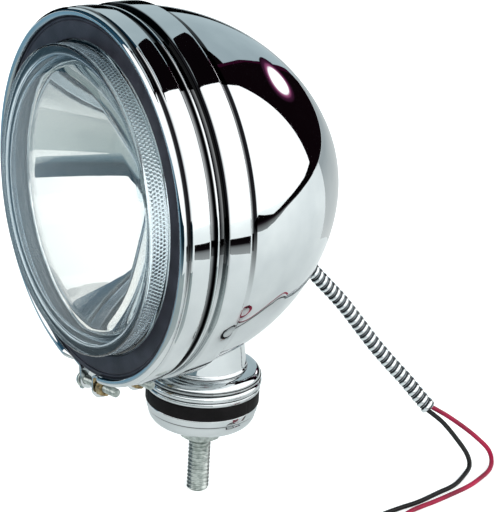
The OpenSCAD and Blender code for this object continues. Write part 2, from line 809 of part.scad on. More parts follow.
// Ribbed metal hose: crests and grooves follow each other along the route, round an open bore
module conduit() {
    dense = curve(conduit_route, 8);
    s = lengths(dense);
    ribs = round(s[len(s) - 1] / rib_pitch);
    outer = even(dense, 2 * ribs);
    bore = even(dense, ribs);
    count = len(outer);
    bore_count = len(bore);
    start = count * wire_sides;
    last = (count - 1) * wire_sides;
    bore_last = start + (bore_count - 1) * wire_sides;
    // The two ends are rings of triangles from the outer edge to the bore
    ends = [for (j = [0:wire_sides - 1], half = [0, 1])
        let (n = (j + 1) % wire_sides)
        half == 0 ? [j, n, start + j] : [n, start + n, start + j]];
    far = [for (j = [0:wire_sides - 1], half = [0, 1])
        let (n = (j + 1) % wire_sides)
        half == 0 ? [last + j, bore_last + j, last + n] : [last + n, bore_last + j, bore_last + n]];
    color("silver") polyhedron(
        points = concat(
            rings(outer, [for (i = [0:count - 1]) conduit_d / 2 - (i % 2 == 0 ? rib_depth : 0)], wire_sides),
            rings(bore, [for (p = bore) conduit_bore / 2], wire_sides)
        ),
        faces = concat(
            skin(0, count, wire_sides, false),
            skin(start, bore_count, wire_sides, true),
            ends,
            far
        )
    );
}

module black_wire() {
    color("#1c1c1e") routed_lead(black_route);
}

module red_wire() {
    color("#b2224a") routed_lead(red_route);
}

module black_coil() {
    points = coil_points(black_coil_at, black_coil_in);
    echo(black_coil_gap = own_gap(points, wire_d, 12));
    color("#1c1c1e") lead(points, wire_d, coil_sides);
}

module red_coil() {
    points = coil_points(red_coil_at, red_coil_in);
    echo(red_coil_gap = own_gap(points, wire_d, 12));
    color("#b2224a") lead(points, wire_d, coil_sides);
}

// A soft band round the turns of one coil
module coil_tie(at, from) {
    wide = 3;
    thick = 0.8;
    spare = 0.25;
    a = from + tie_turn;
    stack = coil_rise * (coil_turns - 1);
    mid = wire_z + coil_rise * tie_turn / 360 + stack / 2;
    half = wire_d / 2 + spare;
    translate([at[0], at[1], mid]) rotate([0, 0, a]) translate([coil_d / 2, wide / 2, 0]) rotate([90, 0, 0])
        linear_extrude(wide) difference() {
            union() {
                square([2 * (half + thick), stack], center = true);
                for (y = [-stack / 2, stack / 2]) translate([0, y]) circle(r = half + thick);
            }
            square([2 * half, stack], center = true);
            for (y = [-stack / 2, stack / 2]) translate([0, y]) circle(r = half);
        }
}

module coil_ties() {
    color("dimgray") {
        coil_tie(black_coil_at, black_coil_in);
        coil_tie(red_coil_at, red_coil_in);
    }
}

// The stripped end of one lead
module wire_tip(points) {
    last = len(points) - 1;
    along = unit(points[last] - points[last - 1]);
    translate(points[last]) rotate([0, 90, atan2(along[1], along[0])]) cylinder(d = wire_d * 0.6, h = 5);
}

module wire_tips() {
    color("peru") {
        wire_tip(coil_points(black_coil_at, black_coil_in));
        wire_tip(coil_points(red_coil_at, red_coil_in));
    }
}

mounting_bolt();
hex_nut();
lock_washer();
lower_cup();
rubber_ring();
thrust_washer();
swivel_ring();
pedestal_flange();
pedestal_neck();
saddle_washer();
bowl_shell();
shoulder_band();
front_rim();
clamp_screws();
clamp_nuts();
lens_gasket();
glass_lens();
reflector();
bulb_glass();
bulb_filament();
bulb_base();
bulb_clip();
bulb_holder();
live_lead();
earth_lead();
conduit_grommet();
conduit_ferrule();
conduit();
black_wire();
red_wire();
black_coil();
red_coil();
coil_ties();
wire_tips();
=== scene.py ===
"""Looks of an auxiliary driving lamp: bowl, clamped rings, knurled lens, pedestal, ribbed conduit and leads.

Lengths are in millimetres until a mesh is made. The head's shapes are worked out round the lens axis, and
their depths are counted back from the front plane of the rim. The pedestal's are worked out round the stud.
"""

import logging
from dataclasses import dataclass, field
from enum import Enum

import bmesh
import bpy
import numpy as np
from mathutils import Matrix


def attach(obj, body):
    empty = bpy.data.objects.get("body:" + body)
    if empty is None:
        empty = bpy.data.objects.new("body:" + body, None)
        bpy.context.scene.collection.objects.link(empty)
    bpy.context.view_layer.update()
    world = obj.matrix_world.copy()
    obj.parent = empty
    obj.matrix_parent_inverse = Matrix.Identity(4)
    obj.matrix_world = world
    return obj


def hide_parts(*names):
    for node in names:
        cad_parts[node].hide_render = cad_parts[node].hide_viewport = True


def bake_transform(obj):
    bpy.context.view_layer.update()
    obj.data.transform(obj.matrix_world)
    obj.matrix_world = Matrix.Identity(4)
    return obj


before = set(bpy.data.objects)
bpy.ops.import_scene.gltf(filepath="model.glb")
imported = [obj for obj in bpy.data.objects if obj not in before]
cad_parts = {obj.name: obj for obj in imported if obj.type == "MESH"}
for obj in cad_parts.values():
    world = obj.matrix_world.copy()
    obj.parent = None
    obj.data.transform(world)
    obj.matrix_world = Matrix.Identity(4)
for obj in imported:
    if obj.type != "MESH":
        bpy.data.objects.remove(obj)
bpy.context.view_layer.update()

MM = 0.001
FLOOR_Z = -27.0
Array = np.ndarray
Point = tuple[float, float, float]
Shades = tuple[tuple[float, str], ...]
log = logging.getLogger("lamp")


class Body(str, Enum):
    """The rigid bodies of the lamp, by the names that the frame gives them."""

    BASE = "base"
    PEDESTAL = "pedestal"
    HEAD = "head"


# Numbers and curves


def linear(colour: str) -> tuple[float, float, float, float]:
    """Turns an sRGB hex colour into linear light.

    Args:
        colour: Hex text such as #c4c8c9.

    Returns:
        Red, green, blue and an alpha of 1.
    """
    s = np.array([int(colour[i:i + 2], 16) for i in (1, 3, 5)]) / 255
    c = np.where(s <= 0.04045, s / 12.92, ((s + 0.055) / 1.055) ** 2.4)
    return (*c.tolist(), 1.0)


def sind(a: float | Array) -> float | Array:
    """Sine of an angle in degrees."""
    return np.sin(np.radians(a))


def cosd(a: float | Array) -> float | Array:
    """Cosine of an angle in degrees."""
    return np.cos(np.radians(a))


def smooth(t: Array) -> Array:
    """Smoothstep: 3t squared less 2t cubed, with t held between 0 and 1."""
    t = np.clip(t, 0, 1)
    return t * t * (3 - 2 * t)


def arc(middle: tuple[float, float], radius: float, start: float, end: float, steps: int) -> Array:
    """Points of an arc: the middle plus the radius times (cos a, sin a), for even angles from start to end.

    Args:
        middle: The arc's middle, as distance from the axis and height.
        radius: Its radius.
        start: First angle in degrees.
        end: Last angle in degrees.
        steps: Number of steps between them.

    Returns:
        An array of steps + 1 points.
    """
    a = np.linspace(start, end, steps + 1)
    return np.array(middle) + radius * np.stack([cosd(a), sind(a)], -1)


def unit(v: Array) -> Array:
    """Each vector divided by its length."""
    return v / np.linalg.norm(v, axis=-1, keepdims=True)


def along(path: Array) -> Array:
    """Running length at each point of a path, starting from 0."""
    steps = np.linalg.norm(np.diff(path, axis=0), axis=1)
    return np.concatenate([[0], np.cumsum(steps)])


def spaced(path: Array, step: float) -> Array:
    """The same path with its points at even distances of about one step.

    Args:
        path: Points of the path.
        step: Distance from point to point.

    Returns:
        The new points.
    """
    s = along(path)
    at = np.linspace(0, s[-1], max(2, round(s[-1] / step)) + 1)
    return np.stack([np.interp(at, s, path[:, k]) for k in range(path.shape[1])], -1)


def curve(points: list[Point] | Array, step: float) -> Array:
    """Smooth route through chosen points: each span is the uniform Catmull-Rom cubic of its nearest four.

    Args:
        points: The chosen points.
        step: Distance between the points of the result.

    Returns:
        The route's points at even distances.
    """
    p = np.array(points, float)
    q = np.concatenate([p[:1], p, p[-1:]])
    a, b, c, d = (q[k:len(q) - 3 + k, None] for k in range(4))
    u = np.linspace(0, 1, 24, endpoint=False)[None, :, None]
    span = 0.5 * (2 * b + (c - a) * u + (2 * a - 5 * b + 4 * c - d) * u**2 + (3 * b - a - 3 * c + d) * u**3)
    return spaced(np.concatenate([span.reshape(-1, p.shape[1]), p[-1:]]), step)


def filleted(outline: list[tuple[float, float]] | Array, radius: float, closed: bool = True,
             steps: int = 4) -> Array:
    """Rounds each corner of an outline.

    A corner's curve is the quadratic (1-u)^2 A + 2u(1-u) C + u^2 B. A and B lie on the two sides that meet at
    the corner C, the radius away from it but at most 0.45 of the side.

    Args:
        outline: The corners.
        radius: How far from a corner its curve starts.
        closed: Whether the last corner joins the first. The ends of an open outline stay as they are.
        steps: Steps of each curve.

    Returns:
        The rounded outline.
    """
    p = np.array(outline, float)
    back, ahead = np.roll(p, 1, 0) - p, np.roll(p, -1, 0) - p
    near = p + back * np.minimum(0.45, radius / np.maximum(np.linalg.norm(back, axis=1), 1e-9))[:, None]
    far = p + ahead * np.minimum(0.45, radius / np.maximum(np.linalg.norm(ahead, axis=1), 1e-9))[:, None]
    if not closed:
        near[0] = far[0] = p[0]
        near[-1] = far[-1] = p[-1]
    u = np.linspace(0, 1, steps + 1)[None, :, None]
    bends = (1 - u) ** 2 * near[:, None] + 2 * u * (1 - u) * p[:, None] + u**2 * far[:, None]
    q = bends.reshape(-1, 2)
    return q if closed else q[steps:-steps]


def walled(path: Array, wall: float) -> Array:
    """A sheet's closed section: the path, then the same path moved left by the wall, back to front.

    Args:
        path: Points of the sheet's outer side, as distance from the axis and depth.
        wall: Thickness of the sheet.

    Returns:
        Twice as many points as the path has.
    """
    t = unit(np.gradient(path, axis=0))
    inner = path + wall * np.stack([-t[:, 1], t[:, 0]], -1)
    inner[:, 0] = np.where(np.abs(path[:, 0]) < 0.01, 0, inner[:, 0])
    return np.concatenate([path, inner[::-1]])


# Meshes


@dataclass(frozen=True)
class Axis:
    """A line that shapes are turned round, with the direction from which their angles count."""

    origin: Point
    up: Point
    side: Point

    def place(self, r: Array, height: Array, angle: Array) -> Array:
        """Points at a distance from the axis, a height along it and an angle in degrees from its side.

        Args:
            r: Distances from the axis.
            height: Heights along it.
            angle: Angles from its side.

        Returns:
            The points.
        """
        up = unit(np.array(self.up, float))
        side = unit(np.array(self.side, float))
        other = np.cross(up, side)
        r, height, angle = (np.asarray(x, float)[..., None] for x in (r, height, angle))
        return np.array(self.origin) + height * up + r * cosd(angle) * side + r * sind(angle) * other


@dataclass
class Shell:
    """One grid of points. Rows follow a profile or a route, and columns go round or across it."""

    points: Array
    close_rows: bool = False
    close_cols: bool = False
    marks: dict[str, Array] = field(default_factory=dict)

    def corners(self) -> tuple[Array, Array, Array]:
        """Row and column of each face's corners, counted past the seam, and the points they stand for.

        Returns:
            Rows, columns and point numbers, four for each face.
        """
        rows, cols = self.points.shape[:2]
        r, c = np.meshgrid(
            np.arange(rows if self.close_rows else rows - 1),
            np.arange(cols if self.close_cols else cols - 1),
            indexing="ij",
        )
        r4 = np.stack([r, r + 1, r + 1, r], -1).reshape(-1, 4)
        c4 = np.stack([c, c, c + 1, c + 1], -1).reshape(-1, 4)
        return r4, c4, (r4 % rows) * cols + c4 % cols


def turned(profile: Array, axis: Axis, steps: int = 256, swing: tuple[float, float] = (0, 360)) -> Shell:
    """A profile carried round an axis: each of its points (r, h) becomes a circle of radius r at height h.

    Args:
        profile: Closed outline, or an open one that starts and ends on the axis.
        axis: The axis.
        steps: Number of steps round it.
        swing: First and last angle. A full turn is closed, and a part of a turn has its two ends closed.

    Returns:
        The shell.
    """
    whole = abs(swing[1] - swing[0] - 360) < 1e-6
    a = np.linspace(swing[0], swing[1], steps + 1)[: steps if whole else None]
    r, a2 = np.meshgrid(profile[:, 0], a, indexing="ij")
    h = np.repeat(profile[:, 1:2], len(a), 1)
    points = axis.place(r, h, a2)
    on_axis = abs(profile[0, 0]) < 1e-9 and abs(profile[-1, 0]) < 1e-9
    if not whole:
        middle = points.mean(0, keepdims=True)
        ends = np.repeat(middle, len(points), 0)
        points = np.concatenate([ends[:, :1], points, ends[:, -1:]], 1)
    return Shell(points, close_rows=not on_axis, close_cols=whole)


def sleeve(path: Array, radius: Array, sides: int, reference: Point, phase: float = 0.0) -> Shell:
    """A round skin along a route, with closed ends.

    Each ring lies in the plane across the route, set by the reference direction and the route's own one.

    Args:
        path: Points of the centreline.
        radius: One radius, or one for each point and side.
        sides: Sides of each ring.
        reference: A direction that the route never runs along.
        phase: Degrees by which the rings are turned.

    Returns:
        The shell. Its ends run in to the centreline.
    """
    t = unit(np.gradient(path, axis=0))
    u = unit(np.cross(np.array(reference, float), t))
    v = np.cross(t, u)
    a = (np.arange(sides) * 360 / sides + phase)[None, :, None]
    r = np.broadcast_to(np.asarray(radius, float), (len(path), sides))[..., None]
    rings = path[:, None] + r * (cosd(a) * u[:, None] + sind(a) * v[:, None])
    first = np.repeat(path[:1, None], sides, 1)
    last = np.repeat(path[-1:, None], sides, 1)
    return Shell(np.concatenate([first, rings, last]), close_cols=True)


def mesh_of(name: str, shells: list[Shell], scale: tuple[float, float] = (1.0, 1.0)) -> bpy.types.Mesh:
    """Makes one mesh from grids. Doubled points at seams and poles are merged, and faces turned outwards.

    Args:
        name: The mesh's name.
        shells: Its grids, in millimetres.
        scale: Length of one row step and of one column step in the UV map.

    Returns:
        The mesh, in metres.
    """
    faces, places, first = [], [], 0
    for shell in shells:
        r4, c4, index = shell.corners()
        faces.append(first + index)
        places.append(np.stack([r4 * scale[0], c4 * scale[1]], -1))
        first += shell.points.shape[0] * shell.points.shape[1]
    mesh = bpy.data.meshes.new(name)
    points = np.concatenate([s.points.reshape(-1, 3) for s in shells]) * MM
    mesh.from_pydata(points, [], np.concatenate(faces).tolist())
    uv = mesh.uv_layers.new(name="place")
    uv.data.foreach_set("uv", np.concatenate(places).astype(np.float32).ravel())
    for mark in shells[0].marks:
        values = np.concatenate([s.marks[mark].ravel() for s in shells])
        mesh.attributes.new(mark, "FLOAT", "POINT").data.foreach_set("value", values.astype(np.float32))
    work = bmesh.new()
    work.from_mesh(mesh)
    bmesh.ops.remove_doubles(work, verts=work.verts, dist=2e-7)
    bmesh.ops.dissolve_degenerate(work, edges=work.edges, dist=1e-8)
    bmesh.ops.recalc_face_normals(work, faces=work.faces)
    work.to_mesh(mesh)
    work.free()
    return mesh


def add_object(name: str, mesh: bpy.types.Mesh) -> bpy.types.Object:
    """Links an object for a mesh into the scene, at the origin.

    Args:
        name: Name of the object.
        mesh: Its mesh.

    Returns:
        The object.
    """
    obj = bpy.data.objects.new(name, mesh)
    bpy.context.scene.collection.objects.link(obj)
    return obj


def crease(mesh: bpy.types.Mesh, angle: float = 32.0) -> None:
    """Shades a mesh smooth, except where two faces meet at more than the angle in degrees."""
    mesh.shade_smooth()
    mesh.set_sharp_from_angle(angle=np.radians(angle))


def cut(obj: bpy.types.Object, tools: list[bpy.types.Mesh]) -> None:
    """Cuts solids out of a piece and keeps the result as its mesh.

    Args:
        obj: The piece.
        tools: Closed meshes that are taken away from it.
    """
    helpers = [add_object("cutter", tool) for tool in tools]
    for helper in helpers:
        step = obj.modifiers.new("cut", "BOOLEAN")
        step.operation = "DIFFERENCE"
        step.solver = "EXACT"
        step.object = helper
    seen = obj.evaluated_get(bpy.context.evaluated_depsgraph_get())
    mesh = bpy.data.meshes.new_from_object(seen)
    obj.modifiers.clear()
    obj.data = mesh
    for helper in helpers:
        bpy.data.objects.remove(helper)


# Finishes


def add_node(tree: bpy.types.NodeTree, kind: str, settings: dict | None = None,
             links: dict | None = None) -> bpy.types.Node:
    """Adds a node to a tree.

    Args:
        tree: The material's or world's node tree.
        kind: The node's type.
        settings: Lower-case names are its properties. Other names and numbers are its inputs.
        links: Input name or number, and the output that feeds it.

    Returns:
        The node.
    """
    node = tree.nodes.new(kind)
    for name, value in (settings or {}).items():
        if isinstance(name, str) and name.islower():
            setattr(node, name, value)
        else:
            node.inputs[name].default_value = value
    for name, socket in (links or {}).items():
        tree.links.new(socket, node.inputs[name])
    return node


def ramp(tree: bpy.types.NodeTree, source: bpy.types.NodeSocket,
         stops: list[tuple[float, str]]) -> bpy.types.NodeSocket:
    """Turns a value into a colour by stops of place and hex colour.

    Args:
        tree: Node tree of the material.
        source: The value.
        stops: Places and their colours.

    Returns:
        The socket that gives the colour.
    """
    node = add_node(tree, "ShaderNodeValToRGB", links={"Fac": source})
    bands = node.color_ramp.elements
    while len(bands) < len(stops):
        bands.new(0.5)
    for band, (place, colour) in zip(bands, stops):
        band.position = place
        band.color = linear(colour)
    return node.outputs["Color"]


def spread(tree: bpy.types.NodeTree, source: bpy.types.NodeSocket, low: float, high: float,
           start: float = 0.0, end: float = 1.0) -> bpy.types.NodeSocket:
    """Maps a value from start..end to low..high.

    Args:
        tree: Node tree of the material.
        source: The value.
        low, high: What it becomes.
        start, end: Where it comes from.

    Returns:
        The socket that gives the new value.
    """
    node = add_node(tree, "ShaderNodeMapRange",
                    {"From Min": start, "From Max": end, "To Min": low, "To Max": high}, {"Value": source})
    return node.outputs["Result"]


def object_noise(tree: bpy.types.NodeTree, size_mm: float, detail: float = 3.0,
                 stretch: Point = (1.0, 1.0, 1.0)) -> bpy.types.NodeSocket:
    """Noise on object coordinates, with features about size_mm wide, divided by the stretch on each axis.

    Args:
        tree: Node tree of the material.
        size_mm: Width of a feature.
        detail: Octaves of finer noise.
        stretch: Factor on each axis.

    Returns:
        The socket that gives 0 to 1.
    """
    place = add_node(tree, "ShaderNodeTexCoord")
    mapped = add_node(tree, "ShaderNodeMapping", {"Scale": stretch}, {"Vector": place.outputs["Object"]})
    noise = add_node(tree, "ShaderNodeTexNoise", {"Scale": 1 / (size_mm * MM), "Detail": detail},
                     {"Vector": mapped.outputs["Vector"]})
    return noise.outputs["Fac"]


def bump(tree: bpy.types.NodeTree, shader: bpy.types.Node, height: bpy.types.NodeSocket,
         depth_mm: float) -> None:
    """Feeds a height of 0 to 1, worth depth_mm, into the shader's normal."""
    node = add_node(tree, "ShaderNodeBump", {"Strength": 1.0, "Distance": depth_mm * MM}, {"Height": height})
    tree.links.new(node.outputs["Normal"], shader.inputs["Normal"])


def colour_by(tree: bpy.types.NodeTree, shader: bpy.types.Node, source: bpy.types.NodeSocket,
              *stops: tuple[float, str]) -> None:
    """Feeds a ramp of a value into the shader's colour."""
    tree.links.new(ramp(tree, source, list(stops)), shader.inputs["Base Color"])


def rough_by(tree: bpy.types.NodeTree, shader: bpy.types.Node, source: bpy.types.NodeSocket, low: float,
             high: float, start: float = 0.0, end: float = 1.0) -> None:
    """Feeds a value, mapped from start..end to low..high, into the shader's roughness."""
    tree.links.new(spread(tree, source, low, high, start, end), shader.inputs["Roughness"])


@dataclass(frozen=True)
class Finish:
    """One real material: its name, a slot's name, and the plain values of its surface."""

    name: str
    slot: str
    colour: str
    roughness: float
    metallic: float = 0.0

    def material(self) -> bpy.types.Material:
        """The material, made at its first use and shared afterwards.

        Returns:
            The material.
        """
        found = bpy.data.materials.get(self.name)
        if found:
            return found
        made = bpy.data.materials.new(self.name)
        made.use_nodes = True
        tree = made.node_tree
        tree.nodes.clear()
        shader = add_node(tree, "ShaderNodeBsdfPrincipled", {
            "Base Color": linear(self.colour), "Roughness": self.roughness, "Metallic": self.metallic,
        })
        add_node(tree, "ShaderNodeOutputMaterial", links={"Surface": shader.outputs["BSDF"]})
        self.texture(tree, shader)
        return made

    def texture(self, tree: bpy.types.NodeTree, shader: bpy.types.Node) -> None:
        """Adds what the surface shows at close range. The plain finish has a fine mottle of its roughness.

        Args:
            tree: Node tree of the material.
            shader: Its surface shader.
        """
        rough_by(tree, shader, object_noise(tree, 0.8), self.roughness * 0.85, self.roughness * 1.2)


@dataclass(frozen=True)
class ChromePlate(Finish):
    """Pressed steel, buffed and chromium-plated.

    The eye gets a mirror with a cool tint, a very slight waviness from the buffing wheel, about 30 mm long,
    and wipe marks that spread the brightest lights a little. Real ones are as fine as hair: these are 0.5 mm
    wide, so that they show. Grooves, the rim's lip, joints between plates and the cup's ridge get painted
    shade in their colour.
    """

    wave_mm: float = 30.0
    wave_depth_mm: float = 0.004
    haze: str = "#d3d7d8"
    # Colour of the painted shade in grooves, on the lip, at joints and on the cup's ridge.
    painted_shade_colour: str = "#101013"

    def texture(self, tree: bpy.types.NodeTree, shader: bpy.types.Node) -> None:
        """Long soft waves in the normal, thin streaks in the roughness, and painted shade from a mark in the
        colour.

        Args:
            tree: Node tree of the material.
            shader: Its surface shader.
        """
        wipe = object_noise(tree, 5.0, 6.0, (1.0, 9.0, 1.0))
        rough_by(tree, shader, wipe, self.roughness, self.roughness * 2.6, 0.52, 0.8)
        tone = ramp(tree, object_noise(tree, 14.0, 2.0), [(0.3, self.colour), (0.75, self.haze)])
        # Painted shade: the mark darkens the colour in grooves, on the lip, at joints and on the cup's ridge.
        painted_shade = add_node(tree, "ShaderNodeAttribute", {"attribute_name": "painted_shade"}).outputs["Fac"]
        mixed = add_node(tree, "ShaderNodeMix", {"data_type": "RGBA", 7: linear(self.painted_shade_colour)},
                         {0: painted_shade, 6: tone})
        tree.links.new(mixed.outputs[2], shader.inputs["Base Color"])
        bump(tree, shader, object_noise(tree, self.wave_mm, 1.0), self.wave_depth_mm)


@dataclass(frozen=True)
class DullMetal(Finish):
    """Metal with a soft shine: steel with clear or yellow zinc plating, drawn tungsten and bare copper.

    The eye gets two tones in clouds of 2.4 mm, a mottle of small crystals, about 0.7 mm, and fine tool marks.
    """

    dull: str = "#8f9894"
    mark_mm: float = 0.35

    def texture(self, tree: bpy.types.NodeTree, shader: bpy.types.Node) -> None:
        """Two tones mixed by a crystal mottle, uneven roughness and shallow tool marks.

        Args:
            tree: Node tree of the material.
            shader: Its surface shader.
        """
        colour_by(tree, shader, object_noise(tree, 2.4, 4.0), (0.32, self.dull), (0.62, self.colour))
        rough_by(tree, shader, object_noise(tree, 0.7), self.roughness * 0.75, self.roughness * 1.35)
        bump(tree, shader, object_noise(tree, self.mark_mm, 2.0, (1.0, 1.0, 3.0)), 0.02)


@dataclass(frozen=True)
class MouldedRubber(Finish):
    """Compression-moulded rubber.

    The eye gets a dark satin surface with a fine grain from the mould, about 0.5 mm, and a dusty bloom in
    clouds. The filler in it keeps its glance weak.
    """

    bloom: str = "#30313b"
    glance: float = 0.25

    def texture(self, tree: bpy.types.NodeTree, shader: bpy.types.Node) -> None:
        """Bloom over the base colour, and a grained normal.

        Args:
            tree: Node tree of the material.
            shader: Its surface shader.
        """
        shader.inputs["Specular IOR Level"].default_value = self.glance
        colour_by(tree, shader, object_noise(tree, 9.0, 5.0), (0.35, self.colour), (0.75, self.bloom))
        grain = object_noise(tree, 0.5, 2.0)
        rough_by(tree, shader, grain, self.roughness * 0.85, self.roughness * 1.2)
        bump(tree, shader, grain, 0.05)


@dataclass(frozen=True)
class PressedGlass(Finish):
    """Soda-lime glass pressed in an iron mould.

    The eye gets clear glass whose thick wall is pale blue, with painted shade in the hollows of its knurl,
    where little light gets out, and a weak orange-peel from the mould, 6 mm across.
    """

    peel_mm: float = 6.0
    peel_depth_mm: float = 0.01
    deep: str = "#dbe9f2"
    # Colour of the painted shade in the knurl's hollows.
    hollow_shade: str = "#37424a"

    def texture(self, tree: bpy.types.NodeTree, shader: bpy.types.Node) -> None:
        """Full transmission, ripples, and the tint by the mark thick: 0.6 is the wall's own tint and 1 the
        painted shade of a hollow.

        Args:
            tree: Node tree of the material.
            shader: Its surface shader.
        """
        thick = add_node(tree, "ShaderNodeAttribute", {"attribute_name": "thick"}).outputs["Fac"]
        colour_by(tree, shader, thick, (0, self.colour), (0.6, self.deep), (1, self.hollow_shade))
        shader.inputs["Transmission Weight"].default_value = 1.0
        shader.inputs["IOR"].default_value = 1.52
        bump(tree, shader, object_noise(tree, self.peel_mm, 2.0), self.peel_depth_mm)


@dataclass(frozen=True)
class MirrorCoat(Finish):
    """Pressed dish, lacquered and coated with aluminium in vacuum.

    The eye gets a brilliant mirror whose lacquer has a soft ripple, about 9 mm across.
    """

    ripple_mm: float = 9.0

    def texture(self, tree: bpy.types.NodeTree, shader: bpy.types.Node) -> None:
        """Ripples in the normal, and a slightly uneven roughness."""
        rough_by(tree, shader, object_noise(tree, 12.0, 2.0), self.roughness, self.roughness * 2.0)
        bump(tree, shader, object_noise(tree, self.ripple_mm, 1.5), 0.006)


@dataclass(frozen=True)
class RibbedStrip(Finish):
    """Galvanised steel strip, rolled to a profile and wound into a hose.

    The eye gets bright crests with a grain of 0.3 mm and dull grooves where the turns lock together. The
    darker colours of the grooves and flanks are painted shade.
    """

    # Colours of the painted shade in the grooves and on the flanks.
    groove: str = "#0b0c0d"
    flank_shade: str = "#969da1"

    def texture(self, tree: bpy.types.NodeTree, shader: bpy.types.Node) -> None:
        """The mark crest is 1 on a crest and 0 in a groove. It sets the roughness, and a colour with painted
        shade in the grooves.

        Args:
            tree: Node tree of the material.
            shader: Its surface shader.
        """
        crest = add_node(tree, "ShaderNodeAttribute", {"attribute_name": "crest"}).outputs["Fac"]
        stain = object_noise(tree, 1.6, 4.0)
        mixed = add_node(tree, "ShaderNodeMath", {"operation": "MULTIPLY_ADD", 1: 0.22, 2: -0.11}, {0: stain})
        level = add_node(tree, "ShaderNodeMath", {"operation": "ADD"}, {0: crest, 1: mixed.outputs["Value"]})
        value = level.outputs["Value"]
        # Painted shade: the ramp darkens grooves, flanks, the hose's underside and its bore.
        colour_by(tree, shader, value, (0.3, self.groove), (0.55, self.flank_shade), (0.74, self.colour))
        rough_by(tree, shader, value, 0.6, self.roughness, 0.2, 0.6)
        bump(tree, shader, object_noise(tree, 0.3, 2.0), 0.015)


@dataclass(frozen=True)
class Insulation(Finish):
    """Soft PVC extruded over the strands.

    The eye gets a smooth round cord, glossy but weaker in its glance than hard plastic, whose colour shifts a
    little along its length, with faint drawing lines.
    """

    deep: str = "#101012"
    glance: float = 0.25
    draw: Point = (0.02, 1.6, 1.0)

    def texture(self, tree: bpy.types.NodeTree, shader: bpy.types.Node) -> None:
        """Colour drifts along the lead, and the UV map's lines run with it.

        Args:
            tree: Node tree of the material.
            shader: Its surface shader.
        """
        shader.inputs["Specular IOR Level"].default_value = self.glance
        colour_by(tree, shader, object_noise(tree, 16.0, 2.0), (0.35, self.deep), (0.65, self.colour))
        place = add_node(tree, "ShaderNodeUVMap", {"uv_map": "place"})
        mapped = add_node(tree, "ShaderNodeMapping", {"Scale": self.draw}, {"Vector": place.outputs["UV"]})
        lines = add_node(tree, "ShaderNodeTexNoise", {"Scale": 3.0, "Detail": 2.0},
                         {"Vector": mapped.outputs["Vector"]}).outputs["Fac"]
        rough_by(tree, shader, lines, self.roughness * 0.8, self.roughness * 1.3)
        bump(tree, shader, lines, 0.02)


CHROME = ChromePlate("chromium_plate_buffed", "chrome", "#c6cbcd", 0.022, 1.0)
ZINC = DullMetal("zinc_plate_turned", "zinc_bolt", "#c3cac6", 0.3, 1.0, dull="#8f9894")
YELLOW_ZINC = DullMetal("yellow_zinc_plate", "brass_screw", "#b3a077", 0.34, 1.0, dull="#6a563a")
GASKET_RUBBER = MouldedRubber("gasket_rubber_moulded", "gasket_rubber", "#1e1f28", 0.42)
BLACK_RUBBER = MouldedRubber("black_rubber_moulded", "black_rubber", "#0b0a0b", 0.6, bloom="#161416",
                             glance=0.1)
GLASS = PressedGlass("pressed_clear_glass", "lens_glass", "#f9fcfc", 0.0)
BULB_GLASS = PressedGlass("blown_bulb_glass", "lens_glass", "#f8fcfd", 0.0, peel_mm=3.0, peel_depth_mm=0.002)
MIRROR = MirrorCoat("vacuum_aluminium_coat", "reflector_mirror", "#eae9e6", 0.015, 1.0)
TUNGSTEN = DullMetal("drawn_tungsten_wire", "dark_metal", "#5d5c5e", 0.4, 1.0, dull="#39383a")
PHENOLIC = Finish("moulded_phenolic", "tan_plastic", "#8a6c4a", 0.45)
STRIP = RibbedStrip("galvanised_strip_wound", "conduit_steel", "#e2e6e8", 0.1, 1.0)
RED_PVC = Insulation("crimson_pvc_extruded", "red_insulation", "#a81541", 0.34, deep="#7a1231")
BLACK_PVC = Insulation("black_pvc_extruded", "black_insulation", "#131214", 0.34, deep="#0a090a")
COPPER = DullMetal("bare_copper_strands", "copper_strands", "#c87f52", 0.28, 1.0, dull="#8a4c2c",
                   mark_mm=0.25)
TIE_VINYL = Finish("soft_vinyl_band", "tie_plastic", "#232325", 0.5)


# Parts of every sub-assembly


def piece(name: str, shells: list[Shell], finish: Finish, body: Body, stands_for: tuple[str, ...] = (),
          angle: float = 32.0, scale: tuple[float, float] = (1.0, 1.0),
          cutters: tuple[list[Shell], ...] = ()) -> bpy.types.Object:
    """Makes a finished piece of the lamp and reports it.

    Args:
        name: The piece's name.
        shells: The grids of its surface.
        finish: What it is made of.
        body: The body that it moves with.
        stands_for: The nodes that it replaces.
        angle: Angle in degrees above which an edge stays sharp.
        scale: Lengths of the UV map's steps.
        cutters: Closed solids that are cut out of it.

    Returns:
        The piece.
    """
    obj = add_object(name, mesh_of(name, shells, scale))
    if cutters:
        cut(obj, [mesh_of("cutter", c) for c in cutters])
    crease(obj.data, angle)
    dress(obj, finish)
    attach(obj, body.value)
    if stands_for:
        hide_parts(*stands_for)
    log.info("%s: %s faces on %s", name, len(obj.data.polygons), body.value)
    return obj


def dress(obj: bpy.types.Object, finish: Finish) -> None:
    """Gives a piece one finish.

    Args:
        obj: The piece.
        finish: Its finish.
    """
    obj.data.materials.clear()
    obj.data.materials.append(finish.material())


@dataclass(frozen=True)
class GrooveShade:
    """A narrow band of painted shade round the head, in a groove or on the lip, between two depths, and how
    dark its lower half is against its upper.
    """

    front: float
    rear: float
    # Level of the painted shade in the lower half, against 1 in the upper.
    below: float


